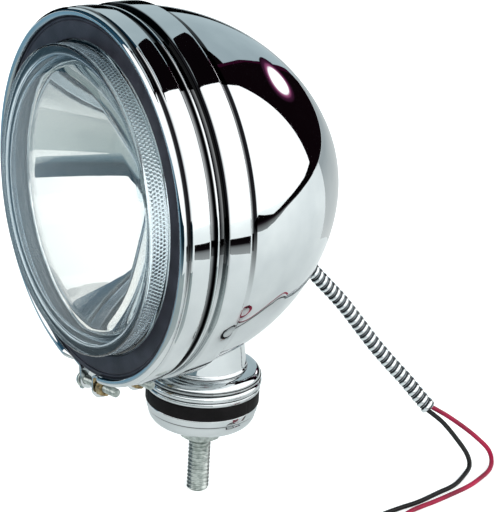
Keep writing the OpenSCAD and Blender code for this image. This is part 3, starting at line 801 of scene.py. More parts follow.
def paint_groove_shade(obj: bpy.types.Object, grooves: tuple[GrooveShade, ...], under: float) -> None:
    """Marks painted shade in the grooves of a piece of the head, for the chrome's colour.

    The painted shade mark is smooth((depth - front) / 0.3) smooth((rear - depth) / 0.3) where the surface
    lies nearer to the lens axis than the radius given. From 10 mm above the axis to 24 mm below it, the mark
    falls to the groove's lower value.

    Args:
        obj: A piece of the head.
        grooves: Its bands of painted shade.
        under: Radius below which a point can lie in a groove.
    """
    place = np.empty(len(obj.data.vertices) * 3, np.float32)
    obj.data.vertices.foreach_get("co", place)
    x, y, z = place.reshape(-1, 3).T / MM
    depth, height = y + LAYOUT.stud_back, z - LAYOUT.axis_z
    value = np.zeros(len(x))
    for groove in grooves:
        inside = smooth((depth - groove.front) / 0.3) * smooth((groove.rear - depth) / 0.3)
        level = groove.below + (1 - groove.below) * smooth((height + 24) / 34)
        value = np.maximum(value, inside * level)
    value[np.hypot(x, height) > under] = 0
    # The painted shade is stored as a mark on the piece's points.
    obj.data.attributes.new("painted_shade", "FLOAT", "POINT").data.foreach_set("value", value.astype(np.float32))


@dataclass(frozen=True)
class Layout:
    """The driving sizes that more than one sub-assembly shares."""

    bowl_r: float = 78.4
    bowl_arc: float = 98.4
    mouth_slope: float = 6.5
    nose_slope: float = 60.7
    mouth_depth: float = 32.4
    sheet: float = 1.0
    stud_back: float = 61.6
    seat_z: float = 52.6
    stud_r: float = 5.0
    move_gap: float = 0.3
    seat_gap: float = 0.05
    bore_r: float = 5.06
    exit_angle: float = 55.0
    conduit_r: float = 3.65

    @property
    def arc_back(self) -> float:
        """Depth of the middle of the bowl's long arc."""
        return self.mouth_depth - self.bowl_arc * sind(self.mouth_slope)

    @property
    def arc_drop(self) -> float:
        """Distance of that middle from the lens axis."""
        return self.bowl_r - self.bowl_arc * cosd(self.mouth_slope)

    @property
    def tilt(self) -> Array:
        """A point on the axis that the head tilts about.

        Returns:
            The point.
        """
        lean = np.arcsin((self.stud_back - self.arc_back) / self.bowl_arc)
        z = self.seat_z + (self.bowl_arc + self.move_gap) * np.cos(lean)
        return np.array([0, self.arc_back - self.stud_back, z])

    @property
    def axis_z(self) -> float:
        """Height of the lens axis."""
        return self.tilt[2] + self.arc_drop

    @property
    def head(self) -> Axis:
        """The lens axis. Angles count from the bottom towards -X."""
        return Axis((0, -self.stud_back, self.axis_z), (0, 1, 0), (0, 0, -1))

    @property
    def stud(self) -> Axis:
        """The stud's axis."""
        return Axis((0, 0, 0), (0, 0, 1), (1, 0, 0))

    @property
    def exit_dir(self) -> Array:
        """The direction in which the conduit leaves the bowl."""
        return np.array([0, sind(self.exit_angle), -cosd(self.exit_angle)])

    @property
    def exit_point(self) -> Array:
        """Where it crosses the outside of the bowl."""
        return self.tilt + self.bowl_arc * self.exit_dir

    @property
    def exit(self) -> Axis:
        """The conduit's axis where it leaves the bowl."""
        return Axis(tuple(self.exit_point), tuple(self.exit_dir), (1, 0, 0))

    def saddle(self, r: float, x: Array, y: Array) -> Array:
        """Height of the under side of the bowl's curve, moved to the radius r of its long arc.

        The curve is turned about the tilt axis. Across that axis it follows a circle of its own, of radius w,
        so z = tilt z - sqrt(R^2 - (y - tilt y)^2), with R = r - w + sqrt(w^2 - x^2).

        Args:
            r: Radius of the arc.
            x, y: Places of the points.

        Returns:
            The heights.
        """
        lean = np.arcsin((self.stud_back - self.arc_back) / self.bowl_arc)
        w = self.arc_drop / np.cos(lean) + r
        big = r - w + np.sqrt(w * w - x * x)
        return self.tilt[2] - np.sqrt(big * big - (y - self.tilt[1]) ** 2)


LAYOUT = Layout()

# Camera, light and floor


@dataclass(frozen=True)
class Viewpoint:
    """Where the photograph was taken from, fitted to the object's edges in its frame of 494 by 512 pixels."""

    target: Point = (9.05, 13.72, 88.06)
    distance: float = 1000.0
    azimuth: float = 56.58
    elevation: float = 21.8
    roll: float = 3.4
    focal: float = 166.0

    def build(self) -> None:
        """Makes the scene's camera."""
        level = cosd(self.elevation)
        back = np.array([level * sind(self.azimuth), -level * cosd(self.azimuth), sind(self.elevation)])
        right = np.array([cosd(self.azimuth), sind(self.azimuth), 0])
        up = np.cross(back, right)
        x = right * cosd(self.roll) + up * sind(self.roll)
        y = up * cosd(self.roll) - right * sind(self.roll)
        data = bpy.data.cameras.new("photo_view")
        data.lens = self.focal
        data.sensor_fit = "HORIZONTAL"
        data.sensor_width = 36
        data.clip_end = 50
        camera = bpy.data.objects.new("photo_view", data)
        place = Matrix(np.column_stack([x, y, back]).tolist()).to_4x4()
        place.translation = ((np.array(self.target) + self.distance * back) * MM).tolist()
        camera.matrix_world = place
        bpy.context.scene.collection.objects.link(camera)
        bpy.context.scene.camera = camera


def glowing(name: str, shades: Shades, strength: float) -> bpy.types.Material:
    """A plain glow for a panel of the studio.

    Args:
        name: The material's name.
        shades: One colour, or several with the values of the mark shade at which they stand.
        strength: Strength of the glow.

    Returns:
        The material.
    """
    made = bpy.data.materials.new(name)
    made.use_nodes = True
    tree = made.node_tree
    tree.nodes.clear()
    glow = add_node(tree, "ShaderNodeEmission", {"Color": linear(shades[0][1]), "Strength": strength})
    if len(shades) > 1:
        mark = add_node(tree, "ShaderNodeAttribute", {"attribute_name": "shade"})
        tree.links.new(ramp(tree, mark.outputs["Fac"], list(shades)), glow.inputs["Color"])
    add_node(tree, "ShaderNodeOutputMaterial", links={"Surface": glow.outputs["Emission"]})
    return made


@dataclass(frozen=True)
class Card:
    """A panel of the studio, part of a dome round the lamp.

    Directions are in degrees. Azimuth 0 is in front of the lens and 90 is on the +X side. The card fills the
    heights from low to high at each of its azimuths, and in between them by straight interpolation. The mark
    shade runs from 0 at its first azimuth to 1 at its last.
    """

    name: str
    azimuths: tuple[float, ...]
    low: tuple[float, ...]
    high: tuple[float, ...]
    shades: Shades
    strength: float
    radius: float = 2600.0
    lights: bool = True

    def build(self) -> None:
        """Makes the card. It is seen in metal and glass but not by the camera."""
        a = np.arange(self.azimuths[0], self.azimuths[-1] + 0.01, 0.5)
        low, high = (np.interp(a, self.azimuths, edge) for edge in (self.low, self.high))
        e = low + (high - low) * np.linspace(0, 1, 13)[:, None]
        shade = np.broadcast_to(np.linspace(0, 1, len(a)), e.shape)
        card = hang(self.name, e, np.broadcast_to(a, e.shape), shade, self.radius, self.lights)
        card.data.materials.append(glowing(self.name, self.shades, self.strength))


@dataclass(frozen=True)
class Spot:
    """A round light with a coloured fringe: a leaning oval of the dome. The mark shade is 0 in its middle."""

    name: str
    middle: tuple[float, float]
    half: tuple[float, float]
    lean: float
    shades: Shades
    strength: float
    radius: float = 2500.0

    def build(self) -> None:
        """Makes the oval: azimuth = a0 + half u cos t, elevation = e0 + lean half u cos t + half' u sin t."""
        t = np.arange(0, 361, 6.0)[None, :]
        u = np.linspace(0, 1, 12)[:, None]
        a = self.half[0] * u * cosd(t)
        e = self.middle[1] + self.lean * a + self.half[1] * u * sind(t)
        oval = hang(self.name, e, self.middle[0] + a, u + 0 * t, self.radius, False)
        oval.data.materials.append(glowing(self.name, self.shades, self.strength))


def hang(name: str, e: Array, a: Array, shade: Array, radius: float, lights: bool) -> bpy.types.Object:
    """Makes a part of the dome that the camera does not see.

    Args:
        name: The panel's name.
        e: Elevation of each grid point, in degrees.
        a: Azimuth of each grid point, in degrees.
        shade: The mark shade at each point.
        radius: Radius of the dome, in millimetres.
        lights: Whether it also lights the lamp and shows through glass.

    Returns:
        The panel.
    """
    points = np.stack([cosd(e) * sind(a), -cosd(e) * cosd(a), sind(e)], -1) * radius + [0, 0, 120]
    obj = add_object(name, mesh_of(name, [Shell(points, marks={"shade": np.array(shade, float)})]))
    obj.visible_camera = False
    obj.visible_shadow = False
    obj.visible_transmission = lights
    obj.visible_diffuse = lights
    return obj


@dataclass(frozen=True)
class Kerb:
    """A strip of cloth that only metal and glass show: it lies on the floor, then stands up.

    At each azimuth the strip starts on the floor, foot in front of its standing part, and ends at the height
    top. The mark shade is 0 at its start, 0.5 where it turns up and 1 at its top.
    """

    name: str
    azimuths: tuple[float, ...]
    out: tuple[float, ...]
    foot: tuple[float, ...]
    top: tuple[float, ...]
    shades: Shades
    strength: float
    through: bool = True

    def build(self) -> None:
        """Makes the strip. Glass shows it when through is true, and metal always does."""
        a = np.arange(self.azimuths[0], self.azimuths[-1] + 0.01, 0.5)
        out, foot, top = (np.interp(a, self.azimuths, line) for line in (self.out, self.foot, self.top))
        u = np.linspace(0, 1, 13)[:, None]
        r = out - foot * np.clip(1 - 2 * u, 0, 1)
        z = FLOOR_Z + 0.5 + (top - FLOOR_Z - 0.5) * np.clip(2 * u - 1, 0, 1)
        points = np.stack([r * sind(a), -r * cosd(a), z], -1)
        obj = add_object(self.name, mesh_of(self.name, [Shell(points, marks={"shade": u + 0 * a})]))
        obj.data.materials.append(glowing(self.name, self.shades, self.strength))
        obj.visible_camera = obj.visible_diffuse = obj.visible_shadow = False
        obj.visible_transmission = self.through


@dataclass(frozen=True)
class Studio:
    """White paper floor, a large soft panel on the +X side, a pale wall opposite, and dark flags and mats.

    The places of the panels' edges are where the photograph's bowl, bands and dish reflect them.
    """

    cards: tuple[Card, ...] = (
        Card("soft_panel", (-38, -10, 60, 105, 135, 150, 158, 164, 170, 176, 179, 181, 183, 185),
             (*(-4,) * 11, 12, 22, 31), (58, 66, 67, 71, 70, 65, 62, 58.5, 54, 47, 42, 39, 36, 32),
             ((0, "#ffffff"),), 1.75),
        Card("rear_flag", (179, 192, 196, 203, 207, 213, 221), (-5,) * 7, (48, 48, 43, 32, 22.5, 10.5, -2),
             ((0, "#160b11"),), 0.6, 2550.0, False),
        Card("ceiling_flag",
             (-38, -10, 60, 105, 135, 150, 158, 164, 170, 176, 181, 192, 196, 223, 226, 300, 322),
             (58, 66, 67, 71, 70, 65, 62, 58.5, 54, 47, 39, 44, 44, 44.5, 74, 72, 60), (90,) * 17,
             ((0, "#120a0f"),), 0.6, 2560.0, False),
        Card("side_wall", (190, 222, 226, 280), (-4,) * 4, (56, 56, 76, 74),
             ((0, "#b3c3ca"), (0.45, "#bccdd3"), (1, "#dcebf0")), 1.05),
        Card("front_wall", (280, 322), (-4,) * 2, (74, 62),
             ((0, "#16303c"), (0.5, "#1f4053"), (1, "#2f566e")), 1.0),
        Card("left_flag", (229, 236, 286), (-5,) * 3, (-4, 12, 15), ((0, "#07090b"),), 0.4, 2540.0, False),
        Card("overhead", (0, 360), (76,) * 2, (90,) * 2, ((0, "#e8f1f5"),), 1.0, 2500.0, False),
        Card("flag_rim", (192, 196, 203, 207, 213, 221), (47, 42, 31, 21.5, 9.5, -2),
             (50, 45, 34, 24.5, 12.5, 0), ((0, "#4a1233"),), 0.5, 2540.0, False),
    )
    spot: Spot = Spot("spot_panel", (202.2, 17.1), (12.4, 6.9), -0.34, (
        (0.0, "#ffffff"), (0.56, "#ffffff"), (0.66, "#8f4a70"), (0.8, "#3b1830"), (1.0, "#0d060a"),
    ), 1.8)
    kerbs: tuple[Kerb, ...] = (
        Kerb("near_edge", (96, 104, 112, 120, 126), (640, 625, 600, 580, 565), (160,) * 5, (10,) * 5,
             ((0, "#c5caca"), (0.3, "#a5a9aa"), (0.43, "#6d6f70"), (0.5, "#151114"), (1, "#0c080a")), 0.8),
        Kerb("far_edge", (130, 133, 137, 143, 148, 154, 163, 171, 180),
             (1100, 1100, 1120, 1180, 1300, 1520, 1850, 2200, 2450),
             (380, 400, 400, 330, 260, 180, 120, 90, 60), (-26, 49, 20, -10, 4, 25, 55, 80, 165),
             ((0, "#b4b9b9"), (0.35, "#2a2228"), (0.5, "#0c080a")), 0.8),
        Kerb("front_mat", (-20, 35, 50, 57, 62), (1500,) * 5, (1115, 1140, 1000, 800, 300), (100,) * 5,
             ((0, "#a3b4b9"), (0.03, "#5f7a85"), (0.12, "#102631"), (0.5, "#16303d"), (1, "#1d3a48")), 1.0),
        Kerb("near_mat", (-20, 78), (384,) * 2, (250,) * 2, (-26.4,) * 2,
             ((0, "#ccd5d5"), (0.2, "#bac8c8")), 0.9),
        Kerb("left_mat", (-84, -20), (1500,) * 2, (1366,) * 2, (-26.4,) * 2,
             ((0, "#a9bcc5"), (0.08, "#86b0c7"), (0.5, "#7ba6be")), 0.95, False),
        Kerb("rear_mat", (188, 256), (2400,) * 2, (2100,) * 2, (-26.4,) * 2,
             ((0, "#e6ebeb"), (0.1, "#d3dadb"), (0.3, "#bcc5c8")), 0.95),
    )
    paper: str = "#dfe4e3"
    fibre: str = "#e5e9e8"
    floor_half: float = 4000.0
    fill: float = 0.18
    near_lift: float = 0.1
    far_lift: float = 0.35
    camera_lift: float = 0.45

    def build(self) -> None:
        """Makes the view settings, the world, the floor and the panels."""
        bpy.context.scene.view_settings.view_transform = "Standard"
        self.world()
        self.floor()
        panels = (*self.cards, self.spot, *self.kerbs)
        for panel in panels:
            panel.build()
        log.info("studio: %s panels", len(panels))

    def background_rays(self, tree: bpy.types.NodeTree) -> bpy.types.NodeSocket:
        """1 for rays that show the background: from the camera, and seen in metal or through glass.

        Args:
            tree: Node tree of the world.

        Returns:
            The socket that gives 0 or 1.
        """
        path = add_node(tree, "ShaderNodeLightPath")
        both = add_node(tree, "ShaderNodeMath", {"operation": "MAXIMUM"},
                        {0: path.outputs["Is Camera Ray"], 1: path.outputs["Is Glossy Ray"]})
        every = add_node(tree, "ShaderNodeMath", {"operation": "MAXIMUM"},
                         {0: both.outputs["Value"], 1: path.outputs["Is Transmission Ray"]})
        return every.outputs["Value"]

    def world(self) -> None:
        """White where the background is seen, and a weak fill for everything else."""
        world = bpy.data.worlds.new("studio")
        bpy.context.scene.world = world
        world.use_nodes = True
        tree = world.node_tree
        tree.nodes.clear()
        fill = add_node(tree, "ShaderNodeBackground", {"Color": linear("#eef4f7"), "Strength": self.fill})
        seen = add_node(tree, "ShaderNodeBackground", {"Color": (1, 1, 1, 1), "Strength": 1.0})
        mixed = add_node(tree, "ShaderNodeMixShader", links={
            0: self.background_rays(tree), 1: fill.outputs["Background"], 2: seen.outputs["Background"],
        })
        add_node(tree, "ShaderNodeOutputWorld", links={"Surface": mixed.outputs["Shader"]})

    def floor(self) -> None:
        """A sheet of white paper at the level of the stud's end. It keeps the lamp's shadow."""
        line = np.linspace(-self.floor_half, self.floor_half, 41)
        x, y = np.meshgrid(line, line, indexing="ij")
        obj = add_object("floor", mesh_of("floor", [Shell(np.stack([x, y, np.full_like(x, FLOOR_Z)], -1))]))
        made = bpy.data.materials.new("white_paper")
        made.use_nodes = True
        tree = made.node_tree
        tree.nodes.clear()
        tone = ramp(tree, object_noise(tree, 3.0, 4.0), [(0.3, self.paper), (0.7, self.fibre)])
        sheet = add_node(tree, "ShaderNodeBsdfDiffuse", links={"Color": tone})
        path = add_node(tree, "ShaderNodeLightPath")
        place = add_node(tree, "ShaderNodeTexCoord")
        away = add_node(tree, "ShaderNodeVectorMath", {"operation": "LENGTH"}, {0: place.outputs["Object"]})
        far = spread(tree, away.outputs["Value"], self.near_lift, self.far_lift, 0.15, 0.6)
        shown = add_node(tree, "ShaderNodeMath", {"operation": "MULTIPLY"},
                         {0: far, 1: self.background_rays(tree)})
        lift = add_node(tree, "ShaderNodeMath", {"operation": "MULTIPLY_ADD", 1: self.camera_lift},
                        {0: path.outputs["Is Camera Ray"], 2: shown.outputs["Value"]})
        glow = add_node(tree, "ShaderNodeEmission", {"Color": (1, 1, 1, 1)},
                        {"Strength": lift.outputs["Value"]})
        both = add_node(tree, "ShaderNodeAddShader",
                        links={0: sheet.outputs["BSDF"], 1: glow.outputs["Emission"]})
        add_node(tree, "ShaderNodeOutputMaterial", links={"Surface": both.outputs["Shader"]})
        obj.data.materials.append(made)


# Conduit and leads


@dataclass(frozen=True)
class Conduit:
    """The ribbed hose that carries the leads, its bush in the bowl, and the two leads inside the bowl."""

    inside: float = 4.6
    bore_r: float = 2.6
    pitch: float = 3.55
    groove: float = 0.8
    flare: float = 0.25
    stiff: float = 20.0
    core_r: float = 1.1
    bush_neck_r: float = 4.55
    bush_lip_r: float = 6.2
    bush_lip_h: float = 1.5
    bush_slack: float = 0.45
    crimp_wall: float = 1.55
    crimp_h: float = 1.6
    fall: tuple[Point, ...] = (
        (0.3, 56.5, 69.6), (1.2, 71.4, 53.7), (2.8, 80.9, 41.7), (5, 89.7, 30),
        (8, 98.4, 19.3), (11.4, 105.8, 10.5), (14.8, 112, 2.2), (17.5, 116.2, -3.2),
    )
    live_route: tuple[Point, ...] = (
        (0, 16.4, 123.3), (0, 21, 122.4), (-0.8, 26, 115), (-1.2, 26.4, 104), (-1.25, 29.3, 94),
        (-1.25, 36.9, 88.6), (-1.25, 43.5, 84),
    )
    earth_route: tuple[Point, ...] = (
        (11, 10.4, 123.3), (11, 15, 121.5), (8, 20.5, 113), (3.2, 24.8, 103), (1.25, 29.7, 93.6),
        (1.25, 36.9, 88.6), (1.25, 43.5, 84),
    )

    def route(self, step: float = 0.3) -> Array:
        """The centreline: square out of the bowl, and then a loose fall."""
        start, out = LAYOUT.exit_point, LAYOUT.exit_dir
        return curve([start - self.inside * out, start + 1.5 * out, start + 6 * out, *self.fall], step)

    def build(self) -> None:
        """Makes the hose, its bush and ferrule, and the inner leads."""
        self.hose()
        self.bush()
        cores = (("live", self.live_route, RED_PVC), ("earth", self.earth_route, BLACK_PVC))
        for name, route, finish in cores:
            skin = sleeve(curve(route, 0.8), self.core_r, 16, (1, 0, 0))
            piece(f"{name}_core", [skin], finish, Body.HEAD, (f"{name}_lead",), scale=(0.8, 0.43))

    def hose(self) -> None:
        """The hose.

        Its radius follows the strip's rolled profile over one pitch: a round ridge, a lower shoulder and a
        narrow groove. The profile winds round the centreline once for each pitch. The last turn is flared.
        The mark crest is 1 on a ridge and 0 in a groove. Off the ridges underneath it is up to 0.3 less, and
        in the bore it is 0.25: painted shade.
        """
        path = self.route()
        s = along(path)[:, None]
        sides = 48
        turn = np.arange(sides) / sides
        f = (s / self.pitch - turn) % 1.0
        ridge = np.clip(1 - np.abs((f - 0.34) / 0.3) ** 2.0, 0, 1) ** 0.5
        shoulder = 0.55 * np.clip(1 - np.abs((f - 0.8) / 0.12) ** 2.0, 0, 1) ** 0.5
        crest = np.maximum(ridge, shoulder)
        flare = self.flare * smooth((s - s[-1] + 3.5) / 3.5)
        outer = LAYOUT.conduit_r - self.groove * (1 - crest) + flare
        bore = np.full_like(outer, self.bore_r) + flare
        skins = [self.ring_rows(path, r) for r in (outer, bore)]
        points = np.concatenate([skins[0], skins[1][::-1]])
        # Painted shade: the underside's hollows and the bore get a lower mark, so a darker colour.
        below = smooth((path[:, None, 2] - skins[0][..., 2]) / LAYOUT.conduit_r)
        marks = {"crest": np.concatenate([crest - 0.3 * below * (crest < 0.9), np.full_like(crest, 0.25)])}
        shell = Shell(points, close_rows=True, close_cols=True, marks=marks)
        obj = add_object("ribbed_conduit", mesh_of("ribbed_conduit", [shell], (0.3, 0.48)))
        crease(obj.data, 50)
        dress(obj, STRIP)
        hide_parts("conduit")
        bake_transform(obj)
        log.info("ribbed_conduit: %.0f mm, %s faces", s[-1, 0], len(obj.data.polygons))

    def ring_rows(self, path: Array, radius: Array) -> Array:
        """Open rings of a skin round the route, one row for each point."""
        return sleeve(path, radius, radius.shape[1], (1, 0, 0)).points[1:-1]

    def bush(self) -> None:
        """The rubber bush that grips the sheet round the hole, and the crimped ferrule behind it."""
        hole, lip = LAYOUT.conduit_r + LAYOUT.seat_gap, self.bush_lip_r
        low, high = -LAYOUT.sheet - self.bush_slack, self.bush_slack
        outline = [
            (hole, low - self.bush_lip_h), (lip, low - self.bush_lip_h), (lip, low),
            (self.bush_neck_r, low), (self.bush_neck_r, high),
            (lip, high), (lip, high + self.bush_lip_h), (hole, high + self.bush_lip_h),
        ]
        piece("conduit_bush", [turned(filleted(outline, 0.5), LAYOUT.exit, 96)], BLACK_RUBBER, Body.HEAD,
              ("conduit_grommet",))
        outside, end = hole + self.crimp_wall, self.crimp_h - self.inside
        crimp = [(hole, -self.inside), (outside, -self.inside), (outside, end), (hole, end)]
        piece("crimped_ferrule", [turned(filleted(crimp, 0.3), LAYOUT.exit, 96)], ZINC, Body.HEAD,
              ("conduit_ferrule",))


@dataclass(frozen=True)
class Lead:
    """One loose lead, from inside the conduit's mouth to its coil, with the coil's tie and the bared end.

    A coil is a helix: its turns have a radius of 12 mm and rise 2.9 mm each, so they lie on each other.
    """

    name: str
    finish: Finish
    route: tuple[Point, ...]
    middle: tuple[float, float]
    come_in: float
    nodes: tuple[str, ...]
    radius: float = 1.1
    coil_r: float = 12.0
    turns: int = 2
    rise: float = 2.9
    tail: float = 9.0
    tie_turn: float = 140.0
    tie_half: float = 1.5
    tie_thick: float = 0.8
    tie_gap: float = 0.25
    bared: float = 4.9
    strand_r: float = 0.2
    lay_r: float = 0.43
    lay_pitch: float = 7.0

    @property
    def lie(self) -> float:
        """Height of the centreline of a lead that lies on the floor."""
        return FLOOR_Z + self.radius

    def coil(self) -> Array:
        """Centreline of the coil and of the straight tail after it.

        Returns:
            Points of the route.
        """
        a = self.come_in + np.arange(0, 360 * self.turns + 0.01, 5.0)
        rise = self.lie + self.rise * (a - self.come_in) / 360
        helix = np.stack([
            self.middle[0] + self.coil_r * cosd(a), self.middle[1] + self.coil_r * sind(a), rise
        ], -1)
        ahead = np.array([-sind(self.come_in), cosd(self.come_in), 0])
        return np.concatenate([helix, helix[-1] + ahead * np.linspace(1, self.tail, 9)[:, None]])

    def centreline(self, hose: Array) -> Array:
        """The whole lead. It starts inside the hose, to one side of its middle.

        Args:
            hose: Centreline of the conduit.

        Returns:
            Points of the route.
        """
        out = unit(hose[-1] - hose[-8])
        off = np.array(self.route[0]) - hose[-1]
        off = off - (off @ out) * out
        start = [hose[-24] + off, hose[-9] + off]
        loose = curve([*start, *self.route], 0.5)
        return spaced(np.concatenate([loose, self.coil()[1:]]), 0.8)

    def build(self, hose: Array) -> None:
        """Args:
            hose: Centreline of the conduit.
        """
        path = self.centreline(hose)
        skin = sleeve(path, self.radius, 20, (0, 0, 1))
        lead = piece(f"{self.name}_lead", [skin], self.finish, Body.PEDESTAL, self.nodes, angle=50,
                     scale=(0.8, 0.35))
        tip = self.bared_end(path)
        tie = self.tie()

    def bared_end(self, path: Array) -> bpy.types.Object:
        """Seven twisted strands: one in the middle and six that wind round it once in 7 mm.

        Args:
            path: Centreline of the lead.

        Returns:
            The piece.
        """
        out = unit(path[-1] - path[-3])
        s = np.linspace(-1, self.bared, 25)
        middle = path[-1] + out * s[:, None]
        side = unit(np.cross(out, [0, 0, 1]))
        other = np.cross(out, side)
        strands = [sleeve(middle, self.strand_r, 8, (0, 0, 1))]
        for k in range(6):
            a = k * 60 + s[:, None] * 360 / self.lay_pitch
            around = self.lay_r * (cosd(a) * side + sind(a) * other)
            strands.append(sleeve(middle + around, self.strand_r, 8, (0, 0, 1)))
        return piece(f"{self.name}_bared_end", strands, COPPER, Body.PEDESTAL, angle=60)

    def tie(self) -> bpy.types.Object:
        """A soft band round the coil's stacked turns: a rounded strip carried round a stadium.

        Returns:
            The piece.
        """
        a0 = self.come_in + self.tie_turn
        stack = self.rise * (self.turns - 1)
        middle = np.array([*self.middle, self.lie + self.rise * self.tie_turn / 360 + stack / 2])
        out, across = np.array([cosd(a0), sind(a0), 0]), np.array([-sind(a0), cosd(a0), 0])
        t = np.linspace(0, 360, 48, endpoint=False)[:, None]
        half, thick = self.tie_half, self.tie_thick
        strip = filleted([(0, -half), (thick, -half), (thick, half), (0, half)], 0.3)
        r = self.radius + self.tie_gap + strip[None, :, 0]
        lift = np.where(sind(t) >= 0, 1, -1) * stack / 2
        away, high, wide = r * cosd(t), r * sind(t) + lift, 0 * t + strip[None, :, 1]
        points = (middle + self.coil_r * out + away[..., None] * out
                  + high[..., None] * np.array([0, 0, 1]) + wide[..., None] * across)
        return piece(f"{self.name}_coil_tie", [Shell(points, True, True)], TIE_VINYL, Body.PEDESTAL, angle=50)


BLACK_LEAD = Lead(
    "black", BLACK_PVC,
    ((17.6, 115.8, -4.6), (24.7, 120, -9), (33.3, 122.8, -15), (39.4, 124.3, -20), (43.5, 123, -23.8),
     (47.5, 117, -25.5), (53, 107, -25.9), (56, 95, -25.9), (59, 82, -25.9), (60, 71, -25.9),
     (61.4, 61, -25.9), (64, 51, -25.9), (65.9, 44, -25.9), (66.2, 40, -25.9)),
    (78.2, 36.9), 180.0, ("black_wire", "black_coil"),
)
RED_LEAD = Lead(
    "red", RED_PVC,
    ((18, 117.5, -3), (21, 125, -8), (26.6, 132, -13.5), (31.6, 136.6, -18), (37, 138.8, -21.5),
     (42.5, 137, -24.2), (48, 131.5, -25.7), (53, 122, -25.9), (57, 112, -25.9), (60, 99, -25.9),
     (62, 89, -25.9), (63, 82, -25.9), (64.6, 74, -25.9), (68.4, 65.5, -25.9), (75, 59.3, -25.9),
     (84, 57.1, -25.9), (91, 56.9, -25.9)),
    (94.2, 68.9), 270.0, ("red_wire", "red_coil", "coil_ties", "wire_tips"),
)


# Threads and hexagons


def threaded(axis: Axis, radius: float, pitch: float, depth: float, start: float, end: float,
             point: float = 0.8, sides: int = 72) -> Shell:
    """A rod with a screw thread and closed, pointed ends.

    At height h and turn t the radius is the outer one less the depth times a triangle wave of h/pitch - t,
    with its crests and roots flattened. Near an end it is at most the radius less the point, plus the way in.

    Args:
        axis: The rod's axis.
        radius: Outer radius of the thread.
        pitch: Distance from thread to thread.
        depth: Depth of the thread.
        start: Height of one end.
        end: Height of the other end.
        point: Bevel at both ends.
        sides: Steps round the rod.

    Returns:
        The shell.
    """
    h = np.linspace(start, end, round((end - start) / pitch * 14) + 1)[:, None]
    turn = np.arange(sides)[None, :] / sides
    wave = np.abs(((h / pitch - turn) % 1.0) * 2 - 1)
    r = radius - depth * np.clip((wave - 0.12) / 0.76, 0, 1)
    way_in = np.minimum(h - start, end - h)
    r = np.minimum(r, radius - point + way_in)
    heights = np.repeat(h, sides, 1)
    points = axis.place(r, heights, np.repeat(turn * 360, len(h), 0))
    ends = [axis.place(np.zeros(sides), np.full(sides, x), turn[0] * 360)[None] for x in (start, end)]
    return Shell(np.concatenate([ends[0], points, ends[1]]), close_cols=True)


def hexagon(axis: Axis, flats: float, bore: float, start: float, height: float, corner: float,
            bevel: float, bottom_only: bool = False, sides: int = 144) -> Shell:
    """A hexagon nut, or a solid hexagon head, whose corners are turned away by a bevel.

    The side's radius is half the flats divided by cos of the angle to the nearest flat, with slightly eased
    corners. The bevel lifts the side's edge by 0.6 of how far the side stands out past the flats.

    Args:
        axis: The nut's axis.
        flats: Width across the flats.
        bore: Radius of its hole, or 0 for a solid head.
        start: Height of its lower face.
        height: Its height.
        corner: Angle of its first corner.
        bevel: Width of the small bevel of the bore.
        bottom_only: Whether only the lower face has the turned bevel.
        sides: Steps round the nut.

    Returns:
        The shell.
    """
    a = np.arange(sides) * 360 / sides + corner
    local = (a - corner) % 60 - 30
    side = np.minimum(flats / 2 / cosd(local), flats / 2 / cosd(30) - 0.12)
    drop = 0.6 * (side - flats / 2)
    top_drop = 0.1 * drop if bottom_only else drop
    end = start + height
    flat = np.full(sides, flats / 2)
    top_edge = side - 0.05 if bottom_only else flat
    zero = np.zeros(sides)
    quarter = 0.25 * (height - 2 * drop)
    rows = [
        (flat, zero + start), (side, start + drop), (side, start + drop + quarter),
        (side, end - top_drop - quarter), (side, end - top_drop), (top_edge, zero + end),
    ]
    inner = max(bore, 1e-9)
    if bore:
        rows = [(zero + inner, zero + start + bevel), (zero + inner + bevel, zero + start), *rows,
                (zero + inner + bevel, zero + end), (zero + inner, zero + end - bevel)]
    else:
        rows = [(zero, zero + start), *rows, (zero, zero + end)]
    points = np.stack([axis.place(r, h, a) for r, h in rows])
    return Shell(points, close_rows=bool(bore), close_cols=True)


# The head


